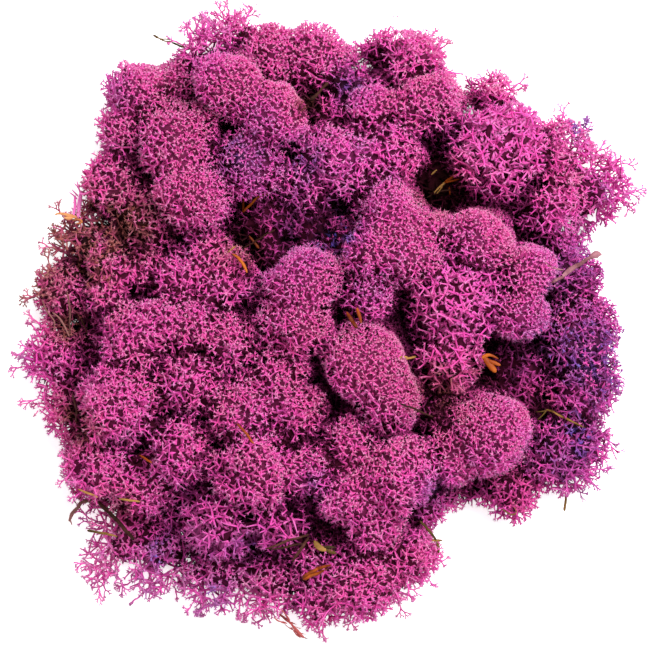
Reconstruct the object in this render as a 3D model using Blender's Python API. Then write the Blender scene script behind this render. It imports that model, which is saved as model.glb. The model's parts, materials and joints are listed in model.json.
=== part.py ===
"""A loose clump of dyed reindeer moss: cushions packed side by side on their cut bases, with bits of
forest litter caught on top. Run with: blender --background --python part.py

Metres, +Z up. The clump rests on its cut bases at z = 0, with the origin under the middle of its box.
Each cushion is a tuft of one or more rounded lobes that stand on the ground. Flat upright walls keep a
lobe clear of the lobes of other tufts, as cushions flatten where they are pressed together.
"""

import math
from collections import namedtuple

import bmesh
import bpy
from mathutils import Matrix, Vector, noise
from mathutils.bvhtree import BVHTree

MM = 0.001

# Driving dimensions
GAP = 0.3 * MM  # left between two pieces that touch
LOWEST_MIDDLE = 0.42  # a low lobe's middle, as a share of its height
LUMP_SHARE = 0.10  # how far the broad lumps of a lobe rise, as a share of its radius
LUMPS_ACROSS = 1.9  # how fine the lumps are
SEGMENTS = 10  # round a lobe
SMALL_SEGMENTS = 8  # round a lobe whose radius is under 10 mm
RING_ANGLES = (31, 60, 88)  # degrees down from a lobe's top, for the rings of its dome
FOOT_SHARE = 0.8  # a lobe's base, as a share of its radius
CROWDED = 0.45  # how much wider a lobe's base is towards a neighbour, as a share of its radius
NEAR = 1.3  # a neighbour is a lobe within this many of both radii together
TOPS_APART = 16 * MM  # a lobe this much taller than its neighbour keeps its full radius beside it
LEAST_SHARE = 0.28  # of the distance between two middles, the least that either lobe keeps
FLAT_DEGREES = 0.3  # faces closer than this to one plane are made one face before the last triangles
SKY = 0.2  # a height well above the clump
STEEPEST = 0.5  # the most that a rod lying on the cushions slopes

Lobe = namedtuple("Lobe", "east north radius top")  # millimetres from the clump's middle; top is a height

# Dyed moss, from the light tips' pink to the violet and brown of the odd cushions
PINK = (0.62, 0.10, 0.36)
ROSE = (0.55, 0.08, 0.33)
VIOLET = (0.30, 0.08, 0.36)
PLUM = (0.22, 0.04, 0.20)
BROWN = (0.20, 0.07, 0.08)
BARK = (0.09, 0.045, 0.03)
RUST = (0.42, 0.12, 0.02)
STRAW = (0.36, 0.24, 0.06)
TAN = (0.55, 0.27, 0.10)
MAUVE = (0.33, 0.17, 0.17)
DULL_RED = (0.50, 0.14, 0.13)

# The cushions, from the back edge of the clump to the front. Each has its colour and its lobes.
TUFTS = {
    "back_left_crown": (PINK, [Lobe(-38, 96, 13.5, 69), Lobe(-21, 84, 13, 67), Lobe(-31, 64, 14, 60)]),
    "back_left_cushion": (PINK, [Lobe(-59, 74, 17, 60), Lobe(-53, 52, 15.5, 65)]),
    "back_left_shoulder": (
        PINK,
        [Lobe(-77, 93, 13, 52), Lobe(-82, 79, 11, 46), Lobe(-59, 98, 10.5, 44)],
    ),
    "left_upper_fringe": (ROSE, [Lobe(-87, 57, 13, 42), Lobe(-72, 42, 13.5, 44)]),
    "back_edge_tuft": (ROSE, [Lobe(-50, 110, 11, 44), Lobe(-37, 119, 7.5, 40)]),
    "back_ridge": (ROSE, [Lobe(-23, 106, 16, 48), Lobe(-5, 109, 14, 46)]),
    "back_right_crown": (PINK, [Lobe(37, 104, 14.5, 46), Lobe(23, 115, 6.5, 38)]),
    "back_right_cushion": (PINK, [Lobe(40, 90, 15.5, 58), Lobe(18, 88, 12, 52)]),
    "violet_nub": (VIOLET, [Lobe(9, 97, 9, 41), Lobe(4, 86, 8.5, 42)]),
    "back_centre_cushion": (
        VIOLET,
        [Lobe(7, 64, 17, 61), Lobe(26, 68, 12.5, 60), Lobe(-6, 56, 11, 54)],
    ),
    "lone_head": (ROSE, [Lobe(70, 96, 8, 40)]),
    "right_net_cushion": (PINK, [Lobe(70, 70, 21, 68)]),
    "right_upper_fringe": (ROSE, [Lobe(95, 71, 14, 50), Lobe(113, 55, 13.5, 36), Lobe(92, 48, 13, 46)]),
    "shaded_hollow_tuft": (PLUM, [Lobe(46, 58, 11, 30)]),
    "shaded_inner_tuft": (PLUM, [Lobe(-22, 43, 12, 42), Lobe(-6, 38, 12, 42), Lobe(-21, 29, 8, 38)]),
    "blue_tipped_nub": (VIOLET, [Lobe(5, 35, 7.5, 46)]),
    "centre_crown": (
        PINK,
        [Lobe(25, 45, 13.5, 71), Lobe(17, 31, 12.5, 73), Lobe(34, 28, 13, 72), Lobe(42, 38, 8, 66)],
    ),
    "centre_right_dome": (PINK, [Lobe(61, 32, 13, 71)]),
    "centre_net_cushion": (PINK, [Lobe(53, 10, 18.5, 75), Lobe(49, -14, 14, 66)]),
    "right_inner_dome": (ROSE, [Lobe(80, 21, 11, 66), Lobe(77, 5, 11.5, 65)]),
    "small_inner_dome": (VIOLET, [Lobe(17, 13, 9.5, 62)]),
    "left_centre_dome": (PINK, [Lobe(-10, 18, 16, 70), Lobe(-12, 2, 14.5, 66)]),
    "round_centre_dome": (PINK, [Lobe(15, -15, 16, 72), Lobe(25, -30, 12.5, 64)]),
    "shaded_right_hollow": (PLUM, [Lobe(78, -22, 13, 42)]),
    "front_right_dome": (
        PINK,
        [Lobe(66, -45, 16.5, 64), Lobe(50, -53, 12.5, 54), Lobe(49, -35, 10.5, 40)],
    ),
    "front_dome": (
        PINK,
        [Lobe(29, -61, 17, 66), Lobe(10, -68, 14, 60), Lobe(20, -80, 13, 54), Lobe(9, -47, 11, 57)],
    ),
    "front_violet_tuft": (VIOLET, [Lobe(43, -75, 8.5, 32)]),
    "left_net_cushion": (PINK, [Lobe(-59, 18, 11, 53), Lobe(-40, 18, 13.5, 55), Lobe(-49, 30, 10, 50)]),
    "left_small_heads": (PINK, [Lobe(-90, 26, 9.5, 43), Lobe(-88, 12, 10, 45), Lobe(-74, 22, 10, 42)]),
    "left_edge_head": (PINK, [Lobe(-109, 14, 11.5, 33)]),
    "brown_dead_tuft": (BROWN, [Lobe(-100, 34, 12.5, 30), Lobe(-84, 39, 9, 32)]),
    "left_edge_fringe": (PINK, [Lobe(-112, -13, 14, 35), Lobe(-107, -35, 11, 32)]),
    "left_front_ridge": (PINK, [Lobe(-77, -5, 16, 58), Lobe(-56, -1, 14.5, 57), Lobe(-39, -8, 13, 58)]),
    "left_front_cushion": (PINK, [Lobe(-83, -31, 18, 62), Lobe(-53, -23, 14, 60)]),
    "left_front_corner": (
        PINK,
        [Lobe(-91, -57, 15.5, 50), Lobe(-75, -65, 12.5, 42), Lobe(-60, -51, 14.5, 56)],
    ),
    "inner_front_cushion": (
        PINK,
        [Lobe(-35, -35, 14.5, 60), Lobe(-12, -36, 12, 60), Lobe(-17, -18, 10.5, 56)],
    ),
    "front_left_dome": (PINK, [Lobe(-29, -58, 18, 66), Lobe(-5, -59, 13, 58)]),
    "front_net_cushion": (PINK, [Lobe(-42, -80, 17, 52), Lobe(-19, -80, 12.5, 50)]),
    "front_left_fringe": (
        ROSE,
        [Lobe(-91, -99, 10.5, 22), Lobe(-70, -98, 13, 28), Lobe(-87, -84, 9.5, 25)],
    ),
    "front_fringe": (VIOLET, [Lobe(-45, -105, 13, 30), Lobe(-22, -108, 13, 30)]),
    "front_edge_dome": (
        PINK,
        [Lobe(15, -105, 17, 48), Lobe(35, -95, 12.5, 42), Lobe(0, -111, 12, 38), Lobe(-3, -95, 11, 36)],
    ),
    "right_back_shoulder": (PLUM, [Lobe(95, 23, 12, 44), Lobe(105, 19, 9, 40)]),
    "right_side_cushion": (VIOLET, [Lobe(103, -4, 16.5, 50), Lobe(106, -24, 15, 48)]),
    "right_front_cushion": (VIOLET, [Lobe(99, -51, 17, 42)]),
    "right_front_shade": (PLUM, [Lobe(75, -67, 14, 32)]),
}

NEEDLE_WIDTH = 1.3 * MM
FIBRE_WIDTH = 0.9 * MM


def clear_scene():
    for item in list(bpy.data.objects):
        bpy.data.objects.remove(item)


def material(name, colour, roughness):
    made = bpy.data.materials.new(name)
    made.use_nodes = True
    shader = made.node_tree.nodes["Principled BSDF"]
    shader.inputs["Base Color"].default_value = (*colour, 1)
    shader.inputs["Roughness"].default_value = roughness
    shader.inputs["Metallic"].default_value = 0
    return made


def middle_of(lobe):
    """A tall lobe's middle is one radius under its top, and a low one's at a share of its height."""
    height = max(lobe.top - lobe.radius, LOWEST_MIDDLE * lobe.top)
    return Vector((lobe.east, lobe.north, height)) * MM


def lumps(lobe, way):
    """The lobe's broad lumps, as a factor on its size in the direction way."""
    place = way * LUMPS_ACROSS + middle_of(lobe) / (7 * MM)
    return 1 + LUMP_SHARE * noise.noise(place)


def dome_reach(lobe, way):
    """How far the lobe's surface is from its middle along the unit vector way, before any wall."""
    up = lobe.top * MM - middle_of(lobe).z
    across = lobe.radius * MM
    plain = 1 / math.sqrt((way.x**2 + way.y**2) / across**2 + way.z**2 / up**2)
    return plain * lumps(lobe, way)


def base_reach(lobe, level_way, everyone):
    """How far out the lobe's base goes along a level unit vector: further towards its neighbours, so
    that the cushions stand close and leave no holes between them."""
    crowd = 0.0
    for other in everyone:
        apart = Vector((other.east - lobe.east, other.north - lobe.north, 0))
        if 0 < apart.length < NEAR * (lobe.radius + other.radius):
            crowd = max(crowd, level_way.dot(apart.normalized()))
    return lobe.radius * MM * (FOOT_SHARE + CROWDED * crowd) * lumps(lobe, level_way)


def walls_round(lobe, others):
    """The floor, and an upright wall against each lobe of another tuft: (unit normal, distance out).
    Of two that would meet, the taller keeps its radius, and the lower stops short of it."""
    middle = middle_of(lobe)
    walls = [(Vector((0, 0, -1)), middle.z)]
    for other in others:
        apart = middle_of(other) - middle
        apart.z = 0
        distance = apart.length
        overlap = (lobe.radius + other.radius) * MM - distance
        taller = max(-1, min(1, (lobe.top - other.top) * MM / TOPS_APART))
        out = lobe.radius * MM - overlap * (0.5 - 0.5 * taller)
        out = max(LEAST_SHARE * distance, min((1 - LEAST_SHARE) * distance, out))
        walls.append((apart.normalized(), out - GAP / 2))
    return walls


def lobe_mesh(name, lobe, others, everyone):
    """A closed, rounded mesh of one lobe with a flat base, inside its walls."""
    middle = middle_of(lobe)
    walls = walls_round(lobe, others)
    segments = SEGMENTS if lobe.radius >= 10 else SMALL_SEGMENTS

    def walled(way, reach):
        for normal, distance in walls:
            slope = way.dot(normal)
            if slope > 0:
                reach = min(reach, distance / slope)
        return middle + way * reach

    def dome_point(polar, turn):
        way = Vector((math.sin(polar) * math.cos(turn), math.sin(polar) * math.sin(turn), math.cos(polar)))
        return walled(way, dome_reach(lobe, way))

    def base_point(turn):
        level_way = Vector((math.cos(turn), math.sin(turn), 0))
        point = walled(level_way, base_reach(lobe, level_way, everyone))
        point.z = 0
        return point

    shape = bmesh.new()
    top = shape.verts.new(dome_point(0, 0))
    foot = shape.verts.new((middle.x, middle.y, 0))
    rings = []
    for number, degrees in enumerate((*RING_ANGLES, None)):
        turns = [2 * math.pi * (step + 0.5 * (number % 2)) / segments for step in range(segments)]
        if degrees is None:
            points = [base_point(turn) for turn in turns]
        else:
            points = [dome_point(math.radians(degrees), turn) for turn in turns]
        rings.append([shape.verts.new(point) for point in points])
    for step in range(segments):
        after = (step + 1) % segments
        shape.faces.new((top, rings[0][step], rings[0][after]))
        shape.faces.new((foot, rings[-1][after], rings[-1][step]))
        for number, (upper, lower) in enumerate(zip(rings, rings[1:])):
            if number % 2 == 0:
                shape.faces.new((upper[step], lower[step], upper[after]))
                shape.faces.new((lower[step], lower[after], upper[after]))
            else:
                shape.faces.new((upper[step], lower[step], lower[after]))
                shape.faces.new((upper[step], lower[after], upper[after]))
    bmesh.ops.recalc_face_normals(shape, faces=shape.faces)
    mesh = bpy.data.meshes.new(name)
    shape.to_mesh(mesh)
    shape.free()
    return mesh


def joined(name, meshes):
    """One closed mesh of several that overlap, by Boolean union."""
    helpers = [bpy.data.objects.new(f"{name}_{number}", mesh) for number, mesh in enumerate(meshes)]
    for helper in helpers:
        bpy.context.scene.collection.objects.link(helper)
    for other in helpers[1:]:
        union = helpers[0].modifiers.new("union", "BOOLEAN")
        union.operation = "UNION"
        union.solver = "EXACT"
        union.object = other
    graph = bpy.context.evaluated_depsgraph_get()
    mesh = bpy.data.meshes.new_from_object(helpers[0].evaluated_get(graph))
    for helper in helpers:
        bpy.data.objects.remove(helper)
    return mesh


def with_flats_merged(mesh):
    """The mesh with each flat wall and base as few triangles, and the rest as it was."""
    shape = bmesh.new()
    shape.from_mesh(mesh)
    bmesh.ops.remove_doubles(shape, verts=shape.verts, dist=0.02 * MM)
    bmesh.ops.dissolve_limit(
        shape, angle_limit=math.radians(FLAT_DEGREES), verts=shape.verts, edges=shape.edges
    )
    bmesh.ops.triangulate(shape, faces=shape.faces)
    shape.to_mesh(mesh)
    shape.free()
    return mesh


def add_piece(name, mesh, colour, roughness, clump):
    mesh.name = name
    mesh.materials.clear()
    mesh.materials.append(material(name, colour, roughness))
    piece = bpy.data.objects.new(name, mesh)
    bpy.context.scene.collection.objects.link(piece)
    piece.parent = clump
    return piece


def add_tufts(clump):
    """Every cushion, each clear of the others."""
    pieces = []
    everyone = [lobe for _, group in TUFTS.values() for lobe in group]
    for name, (colour, lobes) in TUFTS.items():
        others = [lobe for lobe in everyone if lobe not in lobes]
        meshes = [lobe_mesh(f"{name}_lobe", lobe, others, everyone) for lobe in lobes]
        mesh = joined(name, meshes) if len(meshes) > 1 else meshes[0]
        piece = add_piece(name, with_flats_merged(mesh), colour, 0.85, clump)
        pieces.append(piece)
    return pieces


def ground_of(pieces):
    """One tree of the cushions' faces, to lay the litter on."""
    corners, faces = [], []
    for piece in pieces:
        start = len(corners)
        corners += [vertex.co.copy() for vertex in piece.data.vertices]
        faces += [[start + index for index in face.vertices] for face in piece.data.polygons]
    return BVHTree.FromPolygons(corners, faces)


def height_at(ground, place):
    """How high the cushions' top is at a place, or 0 past their edge."""
    hit = ground.ray_cast(Vector((place.x, place.y, SKY)), Vector((0, 0, -1)))[0]
    return hit.z if hit else 0.0


def resting_line(lengths, heights):
    """(height at the start, slope) of a stiff rod on a profile: the slope that leaves its middle lowest."""
    half = lengths[-1] / 2
    lines = []
    for step in range(-10, 11):
        slope = STEEPEST * step / 10
        start = max(height - slope * length for length, height in zip(lengths, heights))
        lines.append((start + slope * half, start, slope))
    _, start, slope = min(lines)
    return start, slope


def smooth_path(corners, count):
    """A smooth curve through hand-placed corners, as count + 1 points for each stretch."""
    points = []
    for i in range(len(corners) - 1):
        before, after = corners[max(i - 1, 0)], corners[min(i + 2, len(corners) - 1)]
        here, there = corners[i], corners[i + 1]
        for step in range(count):
            t = step / count
            points.append(
                here * (2 * t**3 - 3 * t**2 + 1)
                + (there - before) / 2 * (t**3 - 2 * t**2 + t)
                + there * (3 * t**2 - 2 * t**3)
                + (after - here) / 2 * (t**3 - t**2)
            )
    return [*points, corners[-1]]


def rod_mesh(name, path, widths, flat=1.0, sides=4):
    """A closed rod along path, as wide as widths say, and flat times as thick as it is wide."""
    shape = bmesh.new()
    rings = []
    for i, point in enumerate(path):
        ahead = (path[min(i + 1, len(path) - 1)] - path[max(i - 1, 0)]).normalized()
        side = ahead.cross(Vector((0, 0, 1))).normalized()
        over = side.cross(ahead)
        turns = [2 * math.pi * step / sides for step in range(sides)]
        half = widths[i] / 2
        outward = [side * math.cos(turn) + over * flat * math.sin(turn) for turn in turns]
        rings.append([shape.verts.new(point + half * way) for way in outward])
    for near, far in zip(rings, rings[1:]):
        for step in range(sides):
            after = (step + 1) % sides
            shape.faces.new((near[step], near[after], far[after], far[step]))
    shape.faces.new(rings[0])
    shape.faces.new(rings[-1])
    bmesh.ops.recalc_face_normals(shape, faces=shape.faces)
    bmesh.ops.triangulate(shape, faces=shape.faces)
    mesh = bpy.data.meshes.new(name)
    shape.to_mesh(mesh)
    shape.free()
    return mesh


def tree_of(mesh):
    return BVHTree.FromPolygons(
        [vertex.co for vertex in mesh.vertices], [list(face.vertices) for face in mesh.polygons]
    )


def settled(mesh, ground):
    """The mesh lowered or raised until it lies just clear of the cushions."""
    places = [vertex.co for vertex in mesh.vertices] + [face.center for face in mesh.polygons]
    lowest = min(place.z - height_at(ground, place) for place in places)
    mesh.transform(Matrix.Translation((0, 0, GAP - lowest)))
    while tree_of(mesh).overlap(ground):
        mesh.transform(Matrix.Translation((0, 0, GAP)))
    return mesh


def laid_path(corners, ground, width):
    """A path over hand-placed (east, north) corners, resting on the cushions as a stiff rod would."""
    path = smooth_path([Vector((east, north, 0)) * MM for east, north in corners], 2)
    lengths = [0.0]
    for near, far in zip(path, path[1:]):
        lengths.append(lengths[-1] + (far - near).length)
    heights = [height_at(ground, point) + width / 2 + GAP for point in path]
    start, slope = resting_line(lengths, heights)
    return [Vector((p.x, p.y, start + slope * length)) for p, length in zip(path, lengths)]


def tapered(path, thick, thin):
    """Widths that narrow evenly along a path."""
    last = len(path) - 1
    return [thick + (thin - thick) * i / last for i in range(len(path))]


def pointed(path, width):
    """Widths of a needle or a blade: full for most of its length, with narrow ends."""
    last = len(path) - 1
    return [width * (0.35 + 0.65 * min(1, 6 * min(i, last - i) / last)) for i in range(len(path))]


def add_rod(name, corners, colour, width, ground, clump, flat=1.0):
    """A needle, straw, stem or blade across the cushions."""
    path = laid_path(corners, ground, width)
    mesh = rod_mesh(name, path, pointed(path, width), flat)
    return add_piece(name, settled(mesh, ground), colour, 0.6, clump)


def branched_mesh(name, trunk, forks, width, ground):
    """A twig: a trunk laid across the cushions, and forks of it, each a start on the trunk and an end."""
    path = laid_path(trunk, ground, width)
    meshes = [rod_mesh(name, path, tapered(path, width, 0.6 * width))]
    for share, east, north, rise in forks:
        start = path[round(share * (len(path) - 1))]
        end = Vector((east * MM, north * MM, start.z + rise * MM))
        bend = (start + end) / 2 + Vector((0, 0, 0.6 * MM))
        fork = smooth_path([start, bend, end], 3)
        meshes.append(rod_mesh(name, fork, tapered(fork, 0.7 * width, 0.35 * width)))
    return settled(joined(name, meshes), ground)


def scrap_mesh(name, ground, middle, size, turn, bend, thick):
    """A dry scrap of leaf or a scale: a thin pointed plate, curled across its width."""
    length, width = size
    columns, rows = 4, 2
    shape = bmesh.new()
    sides = []
    for lift in (0, thick):
        grid = []
        for i in range(columns + 1):
            along = 2 * i / columns - 1
            reach = 0.15 + 0.85 * math.sqrt(max(0.0, 1 - abs(along) ** 2.2))
            line = []
            for j in range(rows + 1):
                across = 2 * j / rows - 1
                rise = bend * (across**2 - 0.6 * along**2) + lift
                point = Vector((along * length / 2, across * reach * width / 2, rise))
                line.append(shape.verts.new(point * MM))
            grid.append(line)
        sides.append(grid)
    under, over = sides
    for grid in sides:
        for i in range(columns):
            for j in range(rows):
                shape.faces.new((grid[i][j], grid[i + 1][j], grid[i + 1][j + 1], grid[i][j + 1]))
    rim = [(i, 0) for i in range(columns)] + [(columns, j) for j in range(rows)]
    rim += [(i, rows) for i in range(columns, 0, -1)] + [(0, j) for j in range(rows, 0, -1)]
    for (i, j), (k, m) in zip(rim, rim[1:] + rim[:1]):
        shape.faces.new((under[i][j], under[k][m], over[k][m], over[i][j]))
    bmesh.ops.recalc_face_normals(shape, faces=shape.faces)
    bmesh.ops.triangulate(shape, faces=shape.faces)
    mesh = bpy.data.meshes.new(name)
    shape.to_mesh(mesh)
    shape.free()
    place = Vector((middle[0], middle[1], 0)) * MM
    mesh.transform(Matrix.Translation(place) @ Matrix.Rotation(math.radians(turn), 4, "Z"))
    return settled(mesh, ground)


def add_litter(ground, clump):
    """The needles, twigs and dry scraps that a clump brings from the forest floor."""
    fork = branched_mesh(
        "forked_twig", [(-76, -88), (-85, -79), (-94, -74), (-103, -74)],
        [(0.95, -109, -84, -4), (0.9, -108, -65, 0)], 2.3 * MM, ground,
    )
    add_piece("forked_twig", fork, BARK, 0.8, clump)
    stem = branched_mesh(
        "dry_leaf_stem", [(90, 18), (96, 22), (103, 28), (109, 34)], [(0.4, 92, 26, 1)], 3.0 * MM, ground
    )
    add_piece("dry_leaf_stem", stem, MAUVE, 0.8, clump)
    pair = branched_mesh(
        "pine_needle_pair", [(-11, -101), (-4, -98), (2, -95)], [(0.1, 0, -92.5, 1)],
        NEEDLE_WIDTH, ground,
    )
    add_piece("pine_needle_pair", pair, RUST, 0.5, clump)
    rods = {
        "pine_needle_centre": ([(9, 5), (12, -1), (13.5, -3)], RUST, NEEDLE_WIDTH, 0.8),
        "brown_needle_front": ([(-24, -93), (-14, -88), (-4, -86)], BARK, NEEDLE_WIDTH, 0.8),
        "thin_stem_right": ([(85, -33), (94, -36), (104, -41)], STRAW, FIBRE_WIDTH, 1.0),
        "grass_blade_left": ([(-97, -84), (-90, -85.5), (-83, -86)], STRAW, 1.4 * MM, 0.4),
        "grass_blade_back": ([(-69, 117), (-63, 114.5), (-56, 111)], STRAW, 1.6 * MM, 0.4),
        "dark_twig_back": ([(3, 90), (-1, 93), (-6, 97)], BARK, 1.2 * MM, 1.0),
        "curved_stem_front": ([(41, -80), (45, -85), (47, -92)], STRAW, FIBRE_WIDTH, 1.0),
    }
    for name, (corners, colour, width, flat) in rods.items():
        add_rod(name, corners, colour, width, ground, clump, flat)
    scraps = {
        "dry_leaf_scrap": ((-1, -90), (9, 4.5), -15, 0.8, STRAW),
        "bud_scale": ((64, -14), (6, 3.6), -55, 0.6, RUST),
        "bark_scrap_left": ((-102, 44), (11, 3.6), -20, 0.7, TAN),
        "bark_strip_front": ((-10, -117), (12, 3.4), -52, 0.5, DULL_RED),
    }
    for name, (middle, size, turn, bend, colour) in scraps.items():
        mesh = scrap_mesh(name, ground, middle, size, turn, bend, 0.7)
        add_piece(name, mesh, colour, 0.75, clump)


def centre(clump):
    """Moves the whole clump so that the origin is under the middle of its box."""
    bpy.context.view_layer.update()
    corners = [piece.matrix_world @ vertex.co for piece in clump.children for vertex in piece.data.vertices]
    for axis in (0, 1):
        values = [corner[axis] for corner in corners]
        clump.location[axis] = -(min(values) + max(values)) / 2


def main():
    clear_scene()
    clump = bpy.data.objects.new("clump", None)
    bpy.context.scene.collection.objects.link(clump)
    tufts = add_tufts(clump)
    add_litter(ground_of(tufts), clump)
    centre(clump)


main()
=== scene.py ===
"""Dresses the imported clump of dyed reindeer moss: branches and star-shaped tips on every cushion, bark,
needles, straws and scraps caught in them, and the stage. Metres, +Z up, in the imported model's frame.
"""

import json
import math
from collections import namedtuple

import bmesh
import bpy
import numpy as np
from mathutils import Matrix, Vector, kdtree
from mathutils.bvhtree import BVHTree

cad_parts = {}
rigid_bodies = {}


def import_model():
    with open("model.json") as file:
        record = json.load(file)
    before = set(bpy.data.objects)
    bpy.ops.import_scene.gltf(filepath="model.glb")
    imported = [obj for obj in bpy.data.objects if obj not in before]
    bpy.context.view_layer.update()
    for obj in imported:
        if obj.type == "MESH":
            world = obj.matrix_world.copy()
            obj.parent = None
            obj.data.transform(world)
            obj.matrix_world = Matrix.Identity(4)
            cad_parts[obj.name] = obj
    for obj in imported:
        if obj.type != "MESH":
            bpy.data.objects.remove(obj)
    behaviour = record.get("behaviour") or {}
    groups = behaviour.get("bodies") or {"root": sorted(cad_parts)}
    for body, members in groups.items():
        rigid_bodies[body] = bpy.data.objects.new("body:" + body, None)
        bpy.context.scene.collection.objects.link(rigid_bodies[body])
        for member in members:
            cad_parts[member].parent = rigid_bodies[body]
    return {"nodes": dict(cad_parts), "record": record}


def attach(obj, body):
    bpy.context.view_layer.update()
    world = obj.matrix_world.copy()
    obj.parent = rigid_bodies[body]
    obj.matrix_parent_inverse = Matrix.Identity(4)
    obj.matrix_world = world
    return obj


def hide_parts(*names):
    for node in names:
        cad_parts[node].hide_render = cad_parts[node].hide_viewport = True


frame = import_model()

bl_info = {
    "name": "Reindeer Moss Clump",
    "version": (1, 0, 0),
    "blender": (4, 5, 0),
    "location": "3D View > Sidebar > Moss",
    "description": "Grows branched moss over a clump of cushions, lays litter on it and sets the stage",
    "category": "Add Mesh",
}

MM = 0.001
# The material slot of each node, in the record's order, and the nodes that are cushions.
slots = {part["node"]: part["material_slot"] for part in frame["record"]["subparts"]}
tufts = [node for node, slot in slots.items() if slot.endswith("_moss")]
# Places below are in millimetres from the middle of the photographed clump. The model's origin is here:
MODEL_MIDDLE = (0.15, 1.98)

Patch = namedtuple("Patch", "east north radius amount")
Habit = namedtuple(
    "Habit", "openness raggedness crease core_depth shade sprigs lace", defaults=(5.0, 1.0, 0.0, 0.0)
)

# How each cushion grows: how open its net is even on its cap, how far its tips stand unevenly, how deep the
# creases between its small heads are, how deep its dark heart lies, in mm, how brightly it is painted, as a
# painted shade under 1 and a painted light over 1, how many sprigs stand out of it, and how much of it is
# lace with no heart.
HABITS = {
    "back_left_crown": Habit(0.08, 0.5, 1.2),
    "back_left_cushion": Habit(0.12, 0.5, 1.2),
    "back_left_shoulder": Habit(0.15, 1.0, 1.8),
    "left_upper_fringe": Habit(0.3, 1.2, 2.2),
    "back_edge_tuft": Habit(0.45, 2.5, 2.0, 7.0, 1.0, 2.0, 0.35),
    "back_ridge": Habit(0.2, 1.0, 1.6),
    "back_right_crown": Habit(0.35, 1.5, 2.4, 6.0, 1.0, 0.5),
    "back_right_cushion": Habit(0.15, 0.7, 2.0),
    "violet_nub": Habit(0.5, 1.5, 2.0, 5.0, 0.8),
    "back_centre_cushion": Habit(0.4, 0.8, 1.6, 6.0),
    "lone_head": Habit(0.5, 2.0, 1.5, 6.0, 1.1, 0.7, 0.28),
    "right_net_cushion": Habit(0.95, 0.8, 1.5, 8.0),
    "right_upper_fringe": Habit(0.4, 2.2, 2.4, 6.5, 1.0, 0.6, 0.12),
    "right_back_shoulder": Habit(0.5, 1.5, 2.2, 6.0, 0.8),
    "right_side_cushion": Habit(0.3, 1.5, 2.4, 6.5, 0.85),
    "right_front_cushion": Habit(0.5, 2.0, 2.4, 7.0, 0.9, 0.7),
    "right_front_shade": Habit(0.5, 1.5, 2.0, 6.0, 0.75),
    "shaded_right_hollow": Habit(0.6, 1.5, 2.0, 6.0, 0.5),
    "shaded_hollow_tuft": Habit(0.8, 1.5, 1.5, 6.0, 0.3),
    "shaded_inner_tuft": Habit(0.5, 1.5, 2.0, 6.0, 0.5),
    "blue_tipped_nub": Habit(0.3, 0.8, 1.2, 5.0, 0.8),
    "centre_crown": Habit(0.1, 0.5, 1.6),
    "centre_right_dome": Habit(0.08, 0.5, 1.2),
    "centre_net_cushion": Habit(0.85, 0.7, 2.0, 7.5),
    "right_inner_dome": Habit(0.05, 0.4, 0.8),
    "small_inner_dome": Habit(0.25, 0.6, 1.2),
    "left_centre_dome": Habit(0.05, 0.4, 0.8),
    "round_centre_dome": Habit(0.05, 0.4, 0.8),
    "left_net_cushion": Habit(0.45, 0.8, 2.6),
    "left_small_heads": Habit(0.4, 1.2, 2.4),
    "left_edge_head": Habit(0.35, 1.5, 2.0, 5.0, 1.0, 0.7),
    "brown_dead_tuft": Habit(0.65, 3.5, 2.0, 7.0, 1.0, 0.8, 0.2),
    "left_edge_fringe": Habit(0.4, 2.5, 2.4, 6.0, 1.0, 1.0, 0.1),
    "left_front_ridge": Habit(0.3, 0.8, 3.2),
    "left_front_cushion": Habit(0.45, 0.8, 3.2),
    "left_front_corner": Habit(0.45, 1.0, 3.2, 5.0, 1.0, 0.4),
    "inner_front_cushion": Habit(0.3, 0.8, 3.0),
    "front_left_dome": Habit(0.35, 0.8, 2.6),
    "front_net_cushion": Habit(0.9, 1.0, 2.4, 8.0),
    "front_left_fringe": Habit(0.45, 3.0, 1.5, 6.0, 1.2, 1.4, 0.28),
    "front_fringe": Habit(0.45, 3.0, 1.5, 6.0, 1.15, 1.4, 0.18),
    "front_edge_dome": Habit(0.4, 1.5, 2.4, 6.0, 1.0, 0.5),
    "front_dome": Habit(0.3, 0.6, 2.4),
    "front_violet_tuft": Habit(0.5, 1.2, 2.0),
    "front_right_dome": Habit(0.08, 0.5, 1.2),
}

# Where the dye took otherwise. An amount of 1 is the full colour at the patch's middle.
VIOLET_PATCHES = (
    Patch(-32, 66, 13, 0.95),
    Patch(-30, 40, 12, 0.6),
    Patch(-84, 94, 9, 0.5),
    Patch(-48, 108, 12, 0.5),
    Patch(-25, 83, 8, 0.6),
    Patch(-8, 64, 16, 0.85),
    Patch(12, 58, 30, 0.45),
    Patch(10, 96, 11, 0.9),
    Patch(-18, 38, 22, 0.75),
    Patch(115, 58, 12, 0.5),
    Patch(100, 24, 20, 0.75),
    Patch(104, -12, 34, 0.85),
    Patch(98, -50, 24, 0.8),
    Patch(75, -62, 18, 0.55),
    Patch(43, -66, 10, 0.8),
    Patch(17, 14, 10, 0.6),
    Patch(-12, 24, 10, 0.4),
    Patch(-3, -64, 8, 0.7),
    Patch(-66, -92, 9, 0.9),
    Patch(-46, -108, 12, 0.7),
    Patch(-60, -100, 40, 0.4),
    Patch(-30, -91, 12, 0.6),
    Patch(-110, -18, 22, 0.25),
    Patch(-56, 28, 9, 0.4),
    Patch(72, -14, 18, 0.5),
)
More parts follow.
